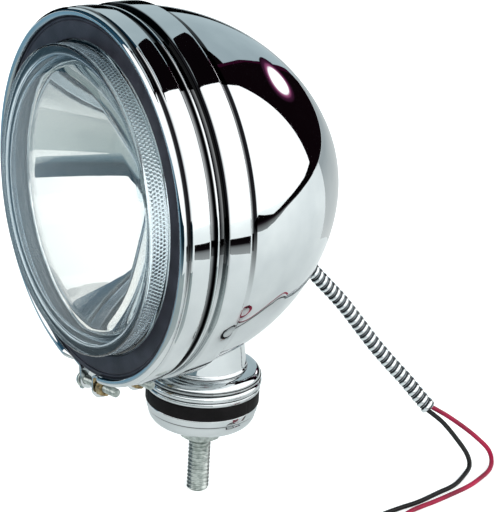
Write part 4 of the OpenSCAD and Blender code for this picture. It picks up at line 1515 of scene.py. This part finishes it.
@dataclass(frozen=True)
class Bowl:
    """The deep shell: an inward flange, a collar with a bead, a long arc and a nose cap, and two holes."""

    flange_in: float = 73.5
    flange_front: float = 7.75
    collar_r: float = 78.5
    fold_r: float = 1.2
    bead_at: float = 15.4
    bead_half: float = 1.1
    bead_h: float = 1.2
    slot_half: float = 5.3
    slot_from: float = -6.65
    slot_to: float = 13.65
    hole_r: float = 4.6
    # Bands of painted shade in the grooves beside the rings.
    grooves: tuple[GrooveShade, ...] = (GrooveShade(10.8, 15.1, 1.0), GrooveShade(15.7, 19.8, 0.1), GrooveShade(30.2, 34.5, 0.1))
    groove_r: float = 79.9

    def profile(self) -> Array:
        """Outer side of the sheet as distance from the lens axis and depth.

        The bead is half a cosine wave to the power 0.8. The arc and the nose cap are circles that touch.

        Returns:
            Points from the flange to the nose.
        """
        lay = LAYOUT
        nose_r = (lay.arc_drop + lay.bowl_arc * cosd(lay.nose_slope)) / cosd(lay.nose_slope)
        nose_back = lay.arc_back + (lay.bowl_arc - nose_r) * sind(lay.nose_slope)
        t = np.linspace(-1, 1, 13)
        bead = np.stack([
            self.collar_r + self.bead_h * cosd(90 * t) ** 0.8, self.bead_at + self.bead_half * t
        ], -1)
        return np.concatenate([
            [(self.flange_in, self.flange_front), (76, self.flange_front)],
            arc((self.collar_r - self.fold_r, self.flange_front + self.fold_r), self.fold_r, -90, 0, 8),
            self.collar(10.6, self.bead_at - self.bead_half - 0.4),
            bead,
            self.collar(self.bead_at + self.bead_half + 0.4, 24, 30),
            arc((lay.arc_drop, lay.arc_back), lay.bowl_arc, lay.mouth_slope, lay.mouth_slope + 1.8, 9),
            arc((lay.arc_drop, lay.arc_back), lay.bowl_arc, lay.mouth_slope + 2.4, lay.nose_slope, 70),
            arc((0, nose_back), nose_r, lay.nose_slope, 90, 36)[1:],
        ])

    def collar(self, *depths: float) -> list[tuple[float, float]]:
        """Points of the straight collar at some depths."""
        return [(self.collar_r, depth) for depth in depths]

    def slot(self) -> list[Shell]:
        """The solid of the slot that lets the head tilt past the bolt, as a part turn about the tilt axis.

        Returns:
            The solid, for a cut.
        """
        lay = LAYOUT
        lean = np.degrees(np.arcsin((lay.stud_back - lay.arc_back) / lay.bowl_arc))
        inner, outer, half = lay.bowl_arc - 6, lay.bowl_arc + 6, self.slot_half
        outline = filleted([(inner, -half), (outer, -half), (outer, half), (inner, half)], 0.01)
        swing = (lean + self.slot_from, lean + self.slot_to)
        return [turned(outline, Axis(tuple(lay.tilt), (1, 0, 0), (0, 0, -1)), 48, swing)]

    def build(self) -> None:
        """Makes the bowl and cuts its two holes."""
        profile = self.profile()
        hole = filleted([(0, -8), (self.hole_r, -8), (self.hole_r, 8), (0, 8)], 0.01, closed=False)
        cutters = (self.slot(), [turned(hole, LAYOUT.exit, 96)])
        shell = turned(walled(profile, LAYOUT.sheet), LAYOUT.head, 384)
        bowl = piece("plated_bowl", [shell], CHROME, Body.HEAD, ("bowl_shell",), cutters=cutters)
        paint_groove_shade(bowl, self.grooves, self.groove_r)


@dataclass(frozen=True)
class ClampRing:
    """A crowned band of sheet round the bowl's collar, parted at the bottom and turned out into two ears.

    Its section is carried along the band's outline. Each stop of that outline lies on the circle, on the
    small bend or on the straight ear. Near the bend the section changes from crowned to a flat strip.
    """

    name: str
    node: str
    front: float
    rear: float
    ear_front: float
    lipped: bool
    grooves: tuple[GrooveShade, ...]
    outer_r: float = 80.45
    collar_r: float = 78.5
    crown: float = 0.15
    curl: float = 1.2
    lip_r: float = 1.9
    lip_at: float = 0.1
    ear_out: float = 5.85
    ear_end: float = 91.0
    ear_wide: float = 9.8
    ear_corner: float = 4.5
    bend: float = 1.5
    fade: float = 9.0
    screw_lean: float = 6.0
    screw_r: float = 2.0
    screw_play: float = 0.25
    screw_in: float = 3.6
    screw_up: float = 4.8

    def section(self) -> Array:
        """Outer side of the band as distance past its outer radius and depth, from front to rear.

        Returns:
            Points of the section.
        """
        if self.lipped:
            edge = np.concatenate([
                arc((-self.lip_r, self.lip_at), self.lip_r, -180, 34, 26),
                [(-0.62, 1.65), (-0.72, 2.1), (-0.6, 2.5), (-0.2, 2.8)],
            ])
            first = 3.0
        else:
            edge = np.concatenate([
                [(self.collar_r + 0.1 - self.outer_r, self.front)],
                arc((-self.curl, self.front + self.curl), self.curl, -90, -12, 8),
            ])
            first = self.front + self.curl
        last = self.rear - self.curl
        k = np.linspace(-0.92, 1, 14)
        middle = np.stack([self.crown * (1 - k * k), (first + last) / 2 + (last - first) / 2 * k], -1)
        back = np.concatenate([
            arc((-self.curl, last), self.curl, 12, 90, 8), [(self.collar_r + 0.1 - self.outer_r, self.rear)],
        ])
        return np.concatenate([edge, middle, back])

    def outline(self) -> tuple[Array, Array, Array, Array]:
        """Stops of the half outline, from the end of the +X ear up to the top of the circle.

        Returns:
            Points (x, down), outward normals, distance from the ear's end, and distance along the circle.
        """
        reach = self.outer_r + self.bend
        mid = np.array([self.ear_out + self.bend, np.sqrt(reach**2 - (self.ear_out + self.bend) ** 2)])
        t = np.linspace(0, 1, 22)
        down = self.ear_end - (self.ear_end - mid[1]) * t**1.6
        ear = np.stack([np.full_like(down, self.ear_out), down], -1)
        touch = np.degrees(np.arctan2(mid[0], mid[1]))
        a = np.linspace(180, 270 - touch, 10)[1:]
        bend = mid + self.bend * np.stack([cosd(a), sind(a)], -1)
        w = np.linspace(0, 1, 190)[1:] ** 1.25
        b = touch + (180 - touch) * w
        ring = self.outer_r * np.stack([sind(b), cosd(b)], -1)
        points = np.concatenate([ear, bend, ring])
        normal = np.concatenate([
            np.tile([1.0, 0.0], (len(ear), 1)), -(bend - mid) / self.bend, ring / self.outer_r,
        ])
        round_way = np.concatenate([np.zeros(len(ear) + len(bend)), np.radians(b - touch) * self.outer_r])
        return points, normal, self.ear_end - points[:, 1], round_way

    def build(self) -> None:
        """Makes the ring and drills its ears."""
        path = self.section()
        band = walled(path, LAYOUT.sheet)
        count = len(path)
        points, normal, from_end, round_way = self.outline()
        corner = self.ear_corner
        short = np.clip(corner - np.where(round_way > 0, corner, from_end), 0, corner)
        cut_back = corner - np.sqrt(np.maximum(corner**2 - short**2, 0))
        k = np.linspace(0, 1, count)
        depth = (self.ear_front + cut_back)[:, None] + (self.ear_wide - 2 * cut_back)[:, None] * k
        flat_n = np.concatenate([np.zeros(count), np.full(count, -LAYOUT.sheet)])
        flat_d = np.concatenate([depth, depth[:, ::-1]], 1)
        share = smooth(round_way / self.fade)[:, None]
        n = (1 - share) * flat_n + share * band[:, 0]
        d = (1 - share) * flat_d + share * band[:, 1]
        x = points[:, :1] + normal[:, :1] * n
        down = points[:, 1:] + normal[:, 1:] * n
        half = np.stack([x, d, -down], -1)
        other = half[-2::-1] * [-1, 1, 1]
        rows = np.concatenate([half, other]) + [0, -LAYOUT.stud_back, LAYOUT.axis_z]
        ends = [np.repeat(rows[i].mean(0)[None, None], 2 * count, 1) for i in (0, -1)]
        shell = Shell(np.concatenate([ends[0], rows, ends[1]]), close_cols=True)
        bore = self.screw_r + self.screw_play
        drill = filleted([(0, -9), (bore, -9), (bore, 9), (0, 9)], 0.01, closed=False)
        ring = piece(self.name, [shell], CHROME, Body.HEAD, (self.node,), angle=40,
                     cutters=([turned(drill, self.screw_line(), 48)],))
        paint_groove_shade(ring, self.grooves, self.outer_r + 0.01)

    def screw_line(self) -> Axis:
        """The line of the clamp screw: across the ears, leaning back and up.

        Returns:
            The axis.
        """
        lean = self.screw_lean
        y = self.ear_front + self.screw_in - LAYOUT.stud_back
        z = LAYOUT.axis_z - self.ear_end + self.screw_up
        return Axis((0, y, z), (cosd(lean) ** 2, cosd(lean) * sind(lean), sind(lean)), (0, 0, 1))


# Bands of painted shade: on the rim's lip and rear curl, and on the band's front curl.
FRONT_RIM = ClampRing("lipped_rim", "front_rim", 0.1, 11.8, 1.8, True,
                      (GrooveShade(0.0, 2.9, 0.1), GrooveShade(11.1, 12.4, 1.0)))
SHOULDER_BAND = ClampRing("shoulder_ring", "shoulder_band", 19.0, 30.9, 19.1, False,
                          (GrooveShade(18.4, 20.1, 0.1),))


@dataclass(frozen=True)
class ClampScrews:
    """The screw and nut of each clamp ring."""

    head_h: float = 2.6
    head_r: float = 3.84
    head_top_r: float = 2.9
    head_edge: float = 0.9
    collar_h: float = 0.7
    past: float = 12.0
    pitch: float = 0.8
    thread_deep: float = 0.34
    nut_af: float = 7.0
    nut_h: float = 3.2
    nut_out: float = 6.57
    slot_half: float = 0.5
    slot_deep: float = 1.2

    def build(self, rings: tuple[ClampRing, ...]) -> None:
        """Makes the screws as one piece and their nuts as another.

        Args:
            rings: The rings that they close.
        """
        screws, nuts, slots = [], [], []
        for ring in rings:
            line = ring.screw_line()
            under = -ring.ear_out - self.collar_h
            face = under - self.head_h
            end = ring.ear_out + self.past
            rod = threaded(line, ring.screw_r, self.pitch, self.thread_deep, under - 0.4, end, 0.5, 40)
            head = filleted([
                (0, face), (self.head_top_r, face), (self.head_r, under - self.head_edge),
                (self.head_r, under), (0, under),
            ], 0.7, closed=False)
            screws += [rod, turned(head, line, 64)]
            nuts.append(hexagon(line, self.nut_af, ring.screw_r + 0.02, self.nut_out, self.nut_h, 12.0, 0.35))
            slots.append(self.driver_slot(line, face))
        piece("clamp_screw_pair", screws, ZINC, Body.HEAD, ("clamp_screws",), angle=40, cutters=(slots,))
        piece("clamp_nut_pair", nuts, YELLOW_ZINC, Body.HEAD, ("clamp_nuts",), angle=30)

    def driver_slot(self, line: Axis, face: float) -> Shell:
        """A bar that cuts the driver's slot into a screw head.

        Args:
            line: Axis of the screw.
            face: Height of the head's face.

        Returns:
            The bar.
        """
        up = unit(np.array(line.up))
        side = unit(np.cross(up, [0, 1, 0]))
        other = np.cross(up, side)
        half, reach, deep = self.slot_half, 5.0, self.slot_deep
        box = np.array([(-half, -reach), (half, -reach), (half, reach), (-half, reach)])
        across = box[:, :1] * other + box[:, 1:] * side
        rows = [
            np.array(line.origin) + up * (face + h) + across * scale
            for h, scale in ((-1.0, 0.0), (-1.0, 1.0), (deep, 1.0), (deep, 0.0))
        ]
        return Shell(np.stack(rows), close_cols=True)


@dataclass(frozen=True)
class LampFace:
    """The glass with its rubber channel, and the reflector behind it."""

    lens_r: float = 66.2
    proud: float = 8.3
    crown: float = 5.0
    wall: float = 3.3
    edge_r: float = 1.2
    knurls: int = 240
    knurl_deep: float = 0.6
    knurl_pitch: float = 1.5
    gasket_in: float = 67.1
    gasket_out: float = 79.0
    gasket_front: float = 0.3
    gasket_web: float = 2.0
    gasket_leg: float = 1.1
    gasket_leg_in: float = 70.0
    ridge_in: float = 75.1
    ridge_out: float = 76.3
    rim_seat: float = 0.9
    flange_front: float = 1.85
    flange_h: float = 3.9
    dish_r: float = 62.7
    dish_edge: float = 6.5
    dish_sheet: float = 0.7
    focus: float = 16.6
    hole_r: float = 11.0

    @property
    def apex(self) -> float:
        """Depth at which the dish would close."""
        return self.dish_edge + self.dish_r**2 / (4 * self.focus)

    def build(self) -> None:
        """Makes the channel, the glass and the dish."""
        self.channel()
        self.glass()
        self.dish()

    def channel(self) -> None:
        """The rubber channel. Its front has a raised bead near the rim's lip."""
        gap = LAYOUT.seat_gap
        out, front = self.gasket_out, self.gasket_front
        leg, under = self.flange_front + self.flange_h + gap, self.flange_front - gap
        web, seat = out - self.gasket_web + gap, out - self.rim_seat
        outline = [
            (self.gasket_in, front + 0.2), (self.gasket_in + 0.4, front - 0.1),
            (self.ridge_in - 0.3, front - 0.1), (self.ridge_in, front + 0.35),
            (self.ridge_in + 0.3, front - 0.25), (self.ridge_out - 0.2, front - 0.25),
            (self.ridge_out, front + 0.3),
            (seat - 0.3, front + 0.2), (seat, front + 0.8), (seat, 3.4), (out, 4.2),
            (out, leg + self.gasket_leg), (self.gasket_leg_in, leg + self.gasket_leg),
            (self.gasket_leg_in, leg), (web, leg), (web, under), (self.gasket_in, under),
        ]
        piece("rubber_channel", [turned(filleted(outline, 0.35), LAYOUT.head, 320)], GASKET_RUBBER, Body.HEAD,
              ("lens_gasket",), angle=60)

    def glass(self) -> None:
        """The glass: a shallow dome, a knurled wall and a flange, with an inner wall and an inner dome.

        On the wall the radius is wall_r + deep (0.5 + 0.5 cos(knurls a) cos(180 d / pitch)), with the angle
        a and the depth d, faded out near the wall's ends. The mark thick is 0.6 on the wall, 1 in a hollow,
        as painted shade.
        """
        edge_r = self.edge_r
        top_r, wall_r = self.lens_r - edge_r, self.lens_r - 0.7
        big = (top_r**2 + self.crown**2) / (2 * self.crown)
        mid = big - self.proud - self.crown
        edge = np.degrees(np.arcsin(top_r / big))
        in_r, in_big = wall_r - self.wall, big - self.wall
        in_edge = np.degrees(np.arcsin((in_r - edge_r) / in_big))
        a = np.linspace(0, edge, 9)
        b = np.linspace(in_edge, 0, 9)
        rear = self.flange_front + self.flange_h
        seat, foot_r, flange_r = self.dish_r + 2.6, wall_r + 1.3, self.gasket_out - self.gasket_web
        outer_d = np.linspace(-self.proud + 1.5, self.gasket_front - 0.2, 28)
        profile = np.concatenate([
            np.stack([big * sind(a), mid - big * cosd(a)], -1),
            arc((top_r, -self.proud + edge_r), edge_r, -78, -4, 6),
            np.stack([np.full_like(outer_d, wall_r), outer_d], -1),
            filleted([(wall_r, self.gasket_front), (foot_r, self.gasket_front + 0.3),
                      (foot_r, self.flange_front), (flange_r, self.flange_front), (flange_r, rear),
                      (seat, rear), (seat, self.dish_edge - 2), (in_r, self.dish_edge - 4),
                      (in_r, mid - in_big * cosd(in_edge) + 1.5)], 0.35, False, 1),
            np.stack([in_big * sind(b), mid - in_big * cosd(b)], -1),
        ])
        steps = self.knurls * 5
        angle = np.arange(steps) * 360 / steps
        fade_in = smooth((profile[:, 1] + self.proud - 1.4) / 0.5)
        on_wall = fade_in * smooth((self.gasket_front - 0.1 - profile[:, 1]) / 0.7)
        on_wall = np.where(np.abs(profile[:, 0] - wall_r) < 0.01, on_wall, 0)
        wave = 0.5 + 0.5 * cosd(self.knurls * angle) * cosd(180 * profile[:, 1:] / self.knurl_pitch)
        r = profile[:, :1] + self.knurl_deep * on_wall[:, None] * wave
        depth = np.repeat(profile[:, 1:], steps, 1)
        # Painted shade: the knurl's hollows get a darker tint.
        hollow_shade = on_wall[:, None] * (1 - wave) ** 2
        thick = 0.6 * smooth((np.repeat(profile[:, :1], steps, 1) - in_r + 2.5) / 2) + 0.4 * hollow_shade
        shell = Shell(LAYOUT.head.place(r, depth, np.repeat(angle[None], len(profile), 0)), close_cols=True,
                      marks={"thick": thick})
        piece("fluted_glass", [shell], GLASS, Body.HEAD, ("glass_lens",), angle=60)

    def dish(self) -> None:
        """The reflector: a paraboloid, r squared over 4f from its apex, with a rolled edge and a collar."""
        back = self.flange_front + self.flange_h + 1.25
        r = np.linspace(self.dish_r, self.hole_r, 46)[1:]
        path = np.concatenate([
            [(self.gasket_out - 2.5, back), (self.dish_r + 4, back)],
            arc((self.dish_r + 3, back - 0.9), 0.9, 90, 180, 4),
            arc((self.dish_r + 1, self.dish_edge), 1.0, 0, -180, 14),
            np.stack([r, self.apex - r * r / (4 * self.focus)], -1),
            [(self.hole_r, self.apex - self.hole_r**2 / (4 * self.focus) + 4)],
        ])
        t = unit(np.gradient(path, axis=0))
        rear = path + self.dish_sheet * np.stack([t[:, 1], -t[:, 0]], -1)
        shell = turned(np.concatenate([path, rear[::-1]]), LAYOUT.head, 256)
        piece("coated_dish", [shell], MIRROR, Body.HEAD, ("reflector",), angle=50)


@dataclass(frozen=True)
class Bulb:
    """The bulb on the dish's focus: envelope, coiled filament, flanged base, and the holder behind it."""

    radius: float = 6.0
    wall: float = 0.8
    length: float = 20.0
    ahead: float = 8.0
    grip: float = 2.5
    holder_r: float = 5.0
    holder_h: float = 6.0
    coil_half: float = 3.0
    coil_r: float = 0.45
    coil_turns: int = 9
    wire_r: float = 0.13
    post_r: float = 0.3

    def build(self, face: LampFace) -> None:
        """Makes the envelope, the filament, the base and the holder.

        Args:
            face: The glass and the dish that the bulb sits in.
        """
        middle = face.apex - face.focus
        front = middle - self.ahead
        back = front + self.length
        neck = face.apex - face.hole_r**2 / (4 * face.focus) + 4.0
        self.envelope(front, back)
        self.filament(middle, back)
        gap = LAYOUT.seat_gap
        flange, r, rim_r = neck + gap, self.radius + gap, face.hole_r + 1.6
        base = filleted([
            (0, back + gap), (r, back + gap), (r, back - self.grip), (self.radius + 1, back - self.grip),
            (self.radius + 1, flange), (rim_r, flange), (rim_r, flange + 1), (0, flange + 1),
        ], 0.3, closed=False)
        piece("flanged_base", [turned(base, LAYOUT.head, 96)], ZINC, Body.HEAD, ("bulb_base",), angle=45)
        z = neck + 1 + 2 * gap
        top, end = z + self.holder_h, z + self.holder_h + 2.2
        r = self.holder_r
        holder = filleted([(0, z), (r, z), (r, top), (3.6, top), (2.6, end), (0, end)], 0.4, closed=False)
        shell = turned(holder, LAYOUT.head, 72)
        piece("brown_holder", [shell], PHENOLIC, Body.HEAD, ("bulb_holder",), angle=45)

    def envelope(self, front: float, back: float) -> None:
        """A tube of glass with a round closed end.

        Args:
            front: Depth of the closed end.
            back: Depth of the open end.
        """
        outer = arc((0, front + self.radius), self.radius, -90, 0, 20)
        inner = arc((0, front + self.radius), self.radius - self.wall, 0, -90, 20)
        profile = np.concatenate([outer, [(self.radius, back)], [(self.radius - self.wall, back)], inner])
        shell = turned(profile, LAYOUT.head, 96)
        piece("bulb_envelope", [shell], BULB_GLASS, Body.HEAD, ("bulb_glass",), angle=60)

    def filament(self, middle: float, back: float) -> None:
        """A helix of wire across the axis, and the two posts that hold it.

        Args:
            middle: Depth of the helix.
            back: Depth of the posts' feet.
        """
        t = np.linspace(0, 1, 240)
        a = 360 * self.coil_turns * t
        x = -self.coil_half + 2 * self.coil_half * t
        coil = np.stack([x, self.coil_r * cosd(a), self.coil_r * sind(a)], -1)
        lift = np.array([0, middle - LAYOUT.stud_back, LAYOUT.axis_z])
        y = np.linspace(middle - 0.2, back, 12) - LAYOUT.stud_back
        shells = [sleeve(coil + lift, self.wire_r, 8, (1, 0, 0))]
        for end in (-self.coil_half, self.coil_half):
            post = np.stack([np.full(12, end), y, np.full(12, LAYOUT.axis_z)], -1)
            shells.append(sleeve(post, self.post_r, 12, (1, 0, 0)))
        piece("coiled_filament", shells, TUNGSTEN, Body.HEAD, ("bulb_filament",), angle=60)


# The pedestal


@dataclass(frozen=True)
class Pedestal:
    """Bolt, nut, washers, cup, rubber ring, thrust washer, swivel ring, domed flange and saddle-cut neck."""

    cup_z: float = 7.3
    cup_r: float = 25.0
    cup_h: float = 11.0
    rubber_h: float = 6.5
    thrust_z: float = 25.1
    thrust_h: float = 1.9
    ring_h: float = 4.0
    dome_h: float = 4.5
    foot_r: float = 19.6
    top_r: float = 16.8
    nut_h: float = 5.0
    nut_af: float = 17.0
    nut_corner: float = 26.6
    washer_in: float = 5.2
    washer_out: float = 9.1
    washer_top: float = 7.25
    washer_split: tuple[float, float] = (124.0, 477.0)
    thread_pitch: float = 1.9
    thread_deep: float = 0.85
    bolt_top: float = 63.62
    head_h: float = 6.4
    flare: float = 0.6
    # Half width of the painted shade lines where plates meet.
    line: float = 0.3

    def build(self) -> None:
        """Makes every piece, from the stud up."""
        self.bolt()
        self.nut_and_washer()
        self.cup()
        self.rubber()
        self.stack()
        self.neck()

    def bolt(self) -> None:
        """The bolt: a threaded stud below, a plain shank, and a bevelled hexagon head inside the bowl."""
        lay = LAYOUT
        low, high = self.cup_z - 1, self.bolt_top + 1
        stud = threaded(lay.stud, lay.stud_r, self.thread_pitch, self.thread_deep, FLOOR_Z, self.cup_z - 0.4,
                        0.8, 96)
        shank = filleted([(0, low), (lay.stud_r, low), (lay.stud_r, high), (0, high)], 0.2, closed=False)
        head = hexagon(lay.stud, self.nut_af, 0, self.bolt_top, self.head_h, 0.0, 0.3)
        shells = [stud, turned(shank, lay.stud, 72), head]
        piece("threaded_bolt", shells, ZINC, Body.BASE, ("mounting_bolt",), angle=38)

    def nut_and_washer(self) -> None:
        """The stud's nut, and the split washer whose two ends stand a little apart."""
        nut = hexagon(LAYOUT.stud, self.nut_af, LAYOUT.stud_r, 0, self.nut_h, self.nut_corner, 0.5, True)
        piece("bevelled_nut", [nut], ZINC, Body.BASE, ("hex_nut",), angle=30)
        section = filleted([(self.washer_in, self.nut_h), (self.washer_out, self.nut_h),
                            (self.washer_out, self.washer_top), (self.washer_in, self.washer_top)], 0.35)
        washer = turned(section, LAYOUT.stud, 120, self.washer_split)
        piece("split_washer", [washer], ZINC, Body.BASE, ("lock_washer",))

    def cup(self) -> None:
        """The pressed cup, with a ridge below its straight wall and a line of painted shade in the ridge's
        lower bend.
        """
        z, r, h = self.cup_z, self.cup_r, self.cup_h
        bore = LAYOUT.bore_r
        outer = np.concatenate([
            [(bore, 0), (13.2, 0)],
            arc((r - 7, 6.8), 6.3, -72, -8, 14),
            [(r - 0.75, h - 3.8), (r - 0.15, h - 3.2), (r, h - 2.6), (r, h - 0.3), (r - 0.3, h)],
        ])
        inner = [(r - 1.6, h), (r - 2.4, h - 4), (14, 2), (9.5, 2), (9.5, h), (bore, h)]
        profile = filleted(np.concatenate([outer, inner]), 0.3) + [0, z]
        shell = turned(profile, LAYOUT.stud, 256)
        # Painted shade: a thin dark ring in the ridge's lower bend.
        ridge_shade = np.exp(-(((profile[:, 1] - z - h + 3.55) / 0.35) ** 2)) * (profile[:, 0] > r - 1.2)
        shell.marks["painted_shade"] = np.repeat(ridge_shade[:, None], shell.points.shape[1], 1)
        piece("plated_cup", [shell], CHROME, Body.BASE, ("lower_cup",), angle=40)

    def rubber(self) -> None:
        """The rubber ring, with faint upright marks from its mould."""
        z, r = self.cup_z + self.cup_h, self.cup_r + self.flare
        outline = filleted([(5.4, 0.02), (r, 0.02), (r, self.rubber_h), (5.4, self.rubber_h)], 0.6) + [0, z]
        shell = turned(outline, LAYOUT.stud, 360)
        a = np.arange(360)
        mark = 0.12 * np.exp(-(((a % 40) - 20) / 1.2) ** 2)
        middle = shell.points[..., :2]
        radius = np.linalg.norm(middle, axis=-1, keepdims=True)
        outside = radius > r - 0.4
        shell.points[..., :2] = np.where(outside, middle * (1 - mark[None, :, None] / radius), middle)
        piece("swivel_rubber", [shell], BLACK_RUBBER, Body.BASE, ("rubber_ring",), angle=60)

    def paint_joint_shade(self, shell: Shell, heights: tuple[float, ...]) -> Shell:
        """Marks painted shade lines where plates meet: the mark is the sum of exp(-((z - height) / line)^2),
        up to 1.

        Args:
            shell: The plate's skin.
            heights: Heights of the lines.

        Returns:
            The same skin.
        """
        z = shell.points[..., 2]
        # Painted shade where plates meet.
        shell.marks["painted_shade"] = np.minimum(sum(np.exp(-(((z - h) / self.line) ** 2)) for h in heights), 1)
        return shell

    def plate(self, name: str, node: str, outline: Array, heights: tuple[float, ...]) -> None:
        """Makes a plated part of the pedestal, turned round the stud, with painted shade lines at some
        heights.

        Args:
            name: Name of the piece.
            node: The node that it replaces.
            outline: Its section.
            heights: Heights of the lines.
        """
        shell = self.paint_joint_shade(turned(outline, LAYOUT.stud, 256), heights)
        piece(name, [shell], CHROME, Body.PEDESTAL, (node,), angle=40)

    def stack(self) -> None:
        """The thrust washer, the swivel ring and the domed flange, each turned round the stud."""
        bore, r = LAYOUT.bore_r, self.cup_r + self.flare
        z, h = self.thrust_z, self.thrust_h
        washer = filleted([(bore, 0), (r + 0.2, 0), (r + 0.2, h), (bore, h)], 0.55) + [0, z]
        self.plate("bright_washer", "thrust_washer", washer, (z,))
        z, h = z + h, self.ring_h
        round_r = h / 2 - 0.2
        outer = arc((r + 0.7 - round_r, round_r), round_r, -90, 90, 20)
        ring = np.concatenate([[(bore, 0)], outer, [(r - 0.4, h - 0.2), (r - 0.4, h), (bore, h)]]) + [0, z]
        self.plate("rounded_ring", "swivel_ring", ring, (z, z + h))
        z, h = z + h, self.dome_h
        step, foot = 1.1, self.foot_r + 0.6
        a = np.linspace(0, 90, 17)
        dome = np.stack([foot + (r - foot) * cosd(a), step + (h - step) * sind(a)], -1)
        edge = filleted([(bore, 0), (r + 0.4, 0), (r + 0.4, 0.95), (r + 0.05, 1.05)], 0.3, closed=False)
        flange = np.concatenate([edge, dome, [(bore, h)]]) + [0, z]
        self.plate("domed_flange", "pedestal_flange", flange, (z, z + step))

    def neck(self) -> None:
        """The neck: a cone whose top follows the bowl.

        A ring at share u of the wall has the height foot + u (top - foot). The top is the height of the
        bowl's curve over that point. The radius falls in a straight line with height.
        """
        lay = LAYOUT
        z0 = self.thrust_z + self.thrust_h + self.ring_h + self.dome_h
        a = np.arange(320) * 360 / 320
        x, y = cosd(a), sind(a)
        wall_r, lift = self.foot_r - 0.6, 1.2
        slope = (wall_r - self.top_r) / (lay.seat_z - z0 - lift)
        r = np.full_like(a, self.top_r)
        for _ in range(12):
            top = lay.saddle(lay.bowl_arc + lay.move_gap, r * x, r * y)
            r = np.maximum(wall_r - slope * (top - z0 - lift), self.top_r)
        rows = [(lay.bore_r + 0 * a, z0 + 0 * a)]
        corners = [(lay.bore_r, 0), (self.foot_r, 0), (self.foot_r, 0.7), (wall_r, 1.3)]
        foot = filleted(corners, 0.3, closed=False)
        rows += [(p[0] + 0 * a, z0 + p[1] + 0 * a) for p in foot[1:]]
        for u in np.linspace(0, 1, 30)[1:]:
            h = z0 + 1.3 + u * (top - 0.15 - z0 - 1.3)
            rows.append((np.maximum(wall_r - slope * (h - z0 - lift), self.top_r), h))
        for share in (0.985, 0.9, 0.7, 0.5, 0.3, 0.0):
            inward = lay.bore_r + share * (r - lay.bore_r)
            rows.append((inward, lay.saddle(lay.bowl_arc + lay.move_gap, inward * x, inward * y)))
        points = np.stack([lay.stud.place(rr, hh, a) for rr, hh in rows])
        shell = self.paint_joint_shade(Shell(points, close_rows=True, close_cols=True), (z0,))
        piece("saddle_neck", [shell], CHROME, Body.PEDESTAL, ("pedestal_neck",), angle=40)


def main() -> None:
    """Builds the lamp: camera and cords first, then the studio, the head and the pedestal."""
    logging.basicConfig(level=logging.INFO, format="%(name)s: %(message)s")
    Viewpoint().build()
    conduit = Conduit()
    conduit.build()
    hose = conduit.route()
    for lead in (BLACK_LEAD, RED_LEAD):
        lead.build(hose)
    Studio().build()
    Bowl().build()
    rings = (FRONT_RIM, SHOULDER_BAND)
    for ring in rings:
        ring.build()
    ClampScrews().build(rings)
    face = LampFace()
    face.build()
    Bulb().build(face)
    Pedestal().build()
    dress(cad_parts["bulb_clip"], ZINC)
    dress(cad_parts["saddle_washer"], ZINC)


if __name__ == "__main__":
    main()
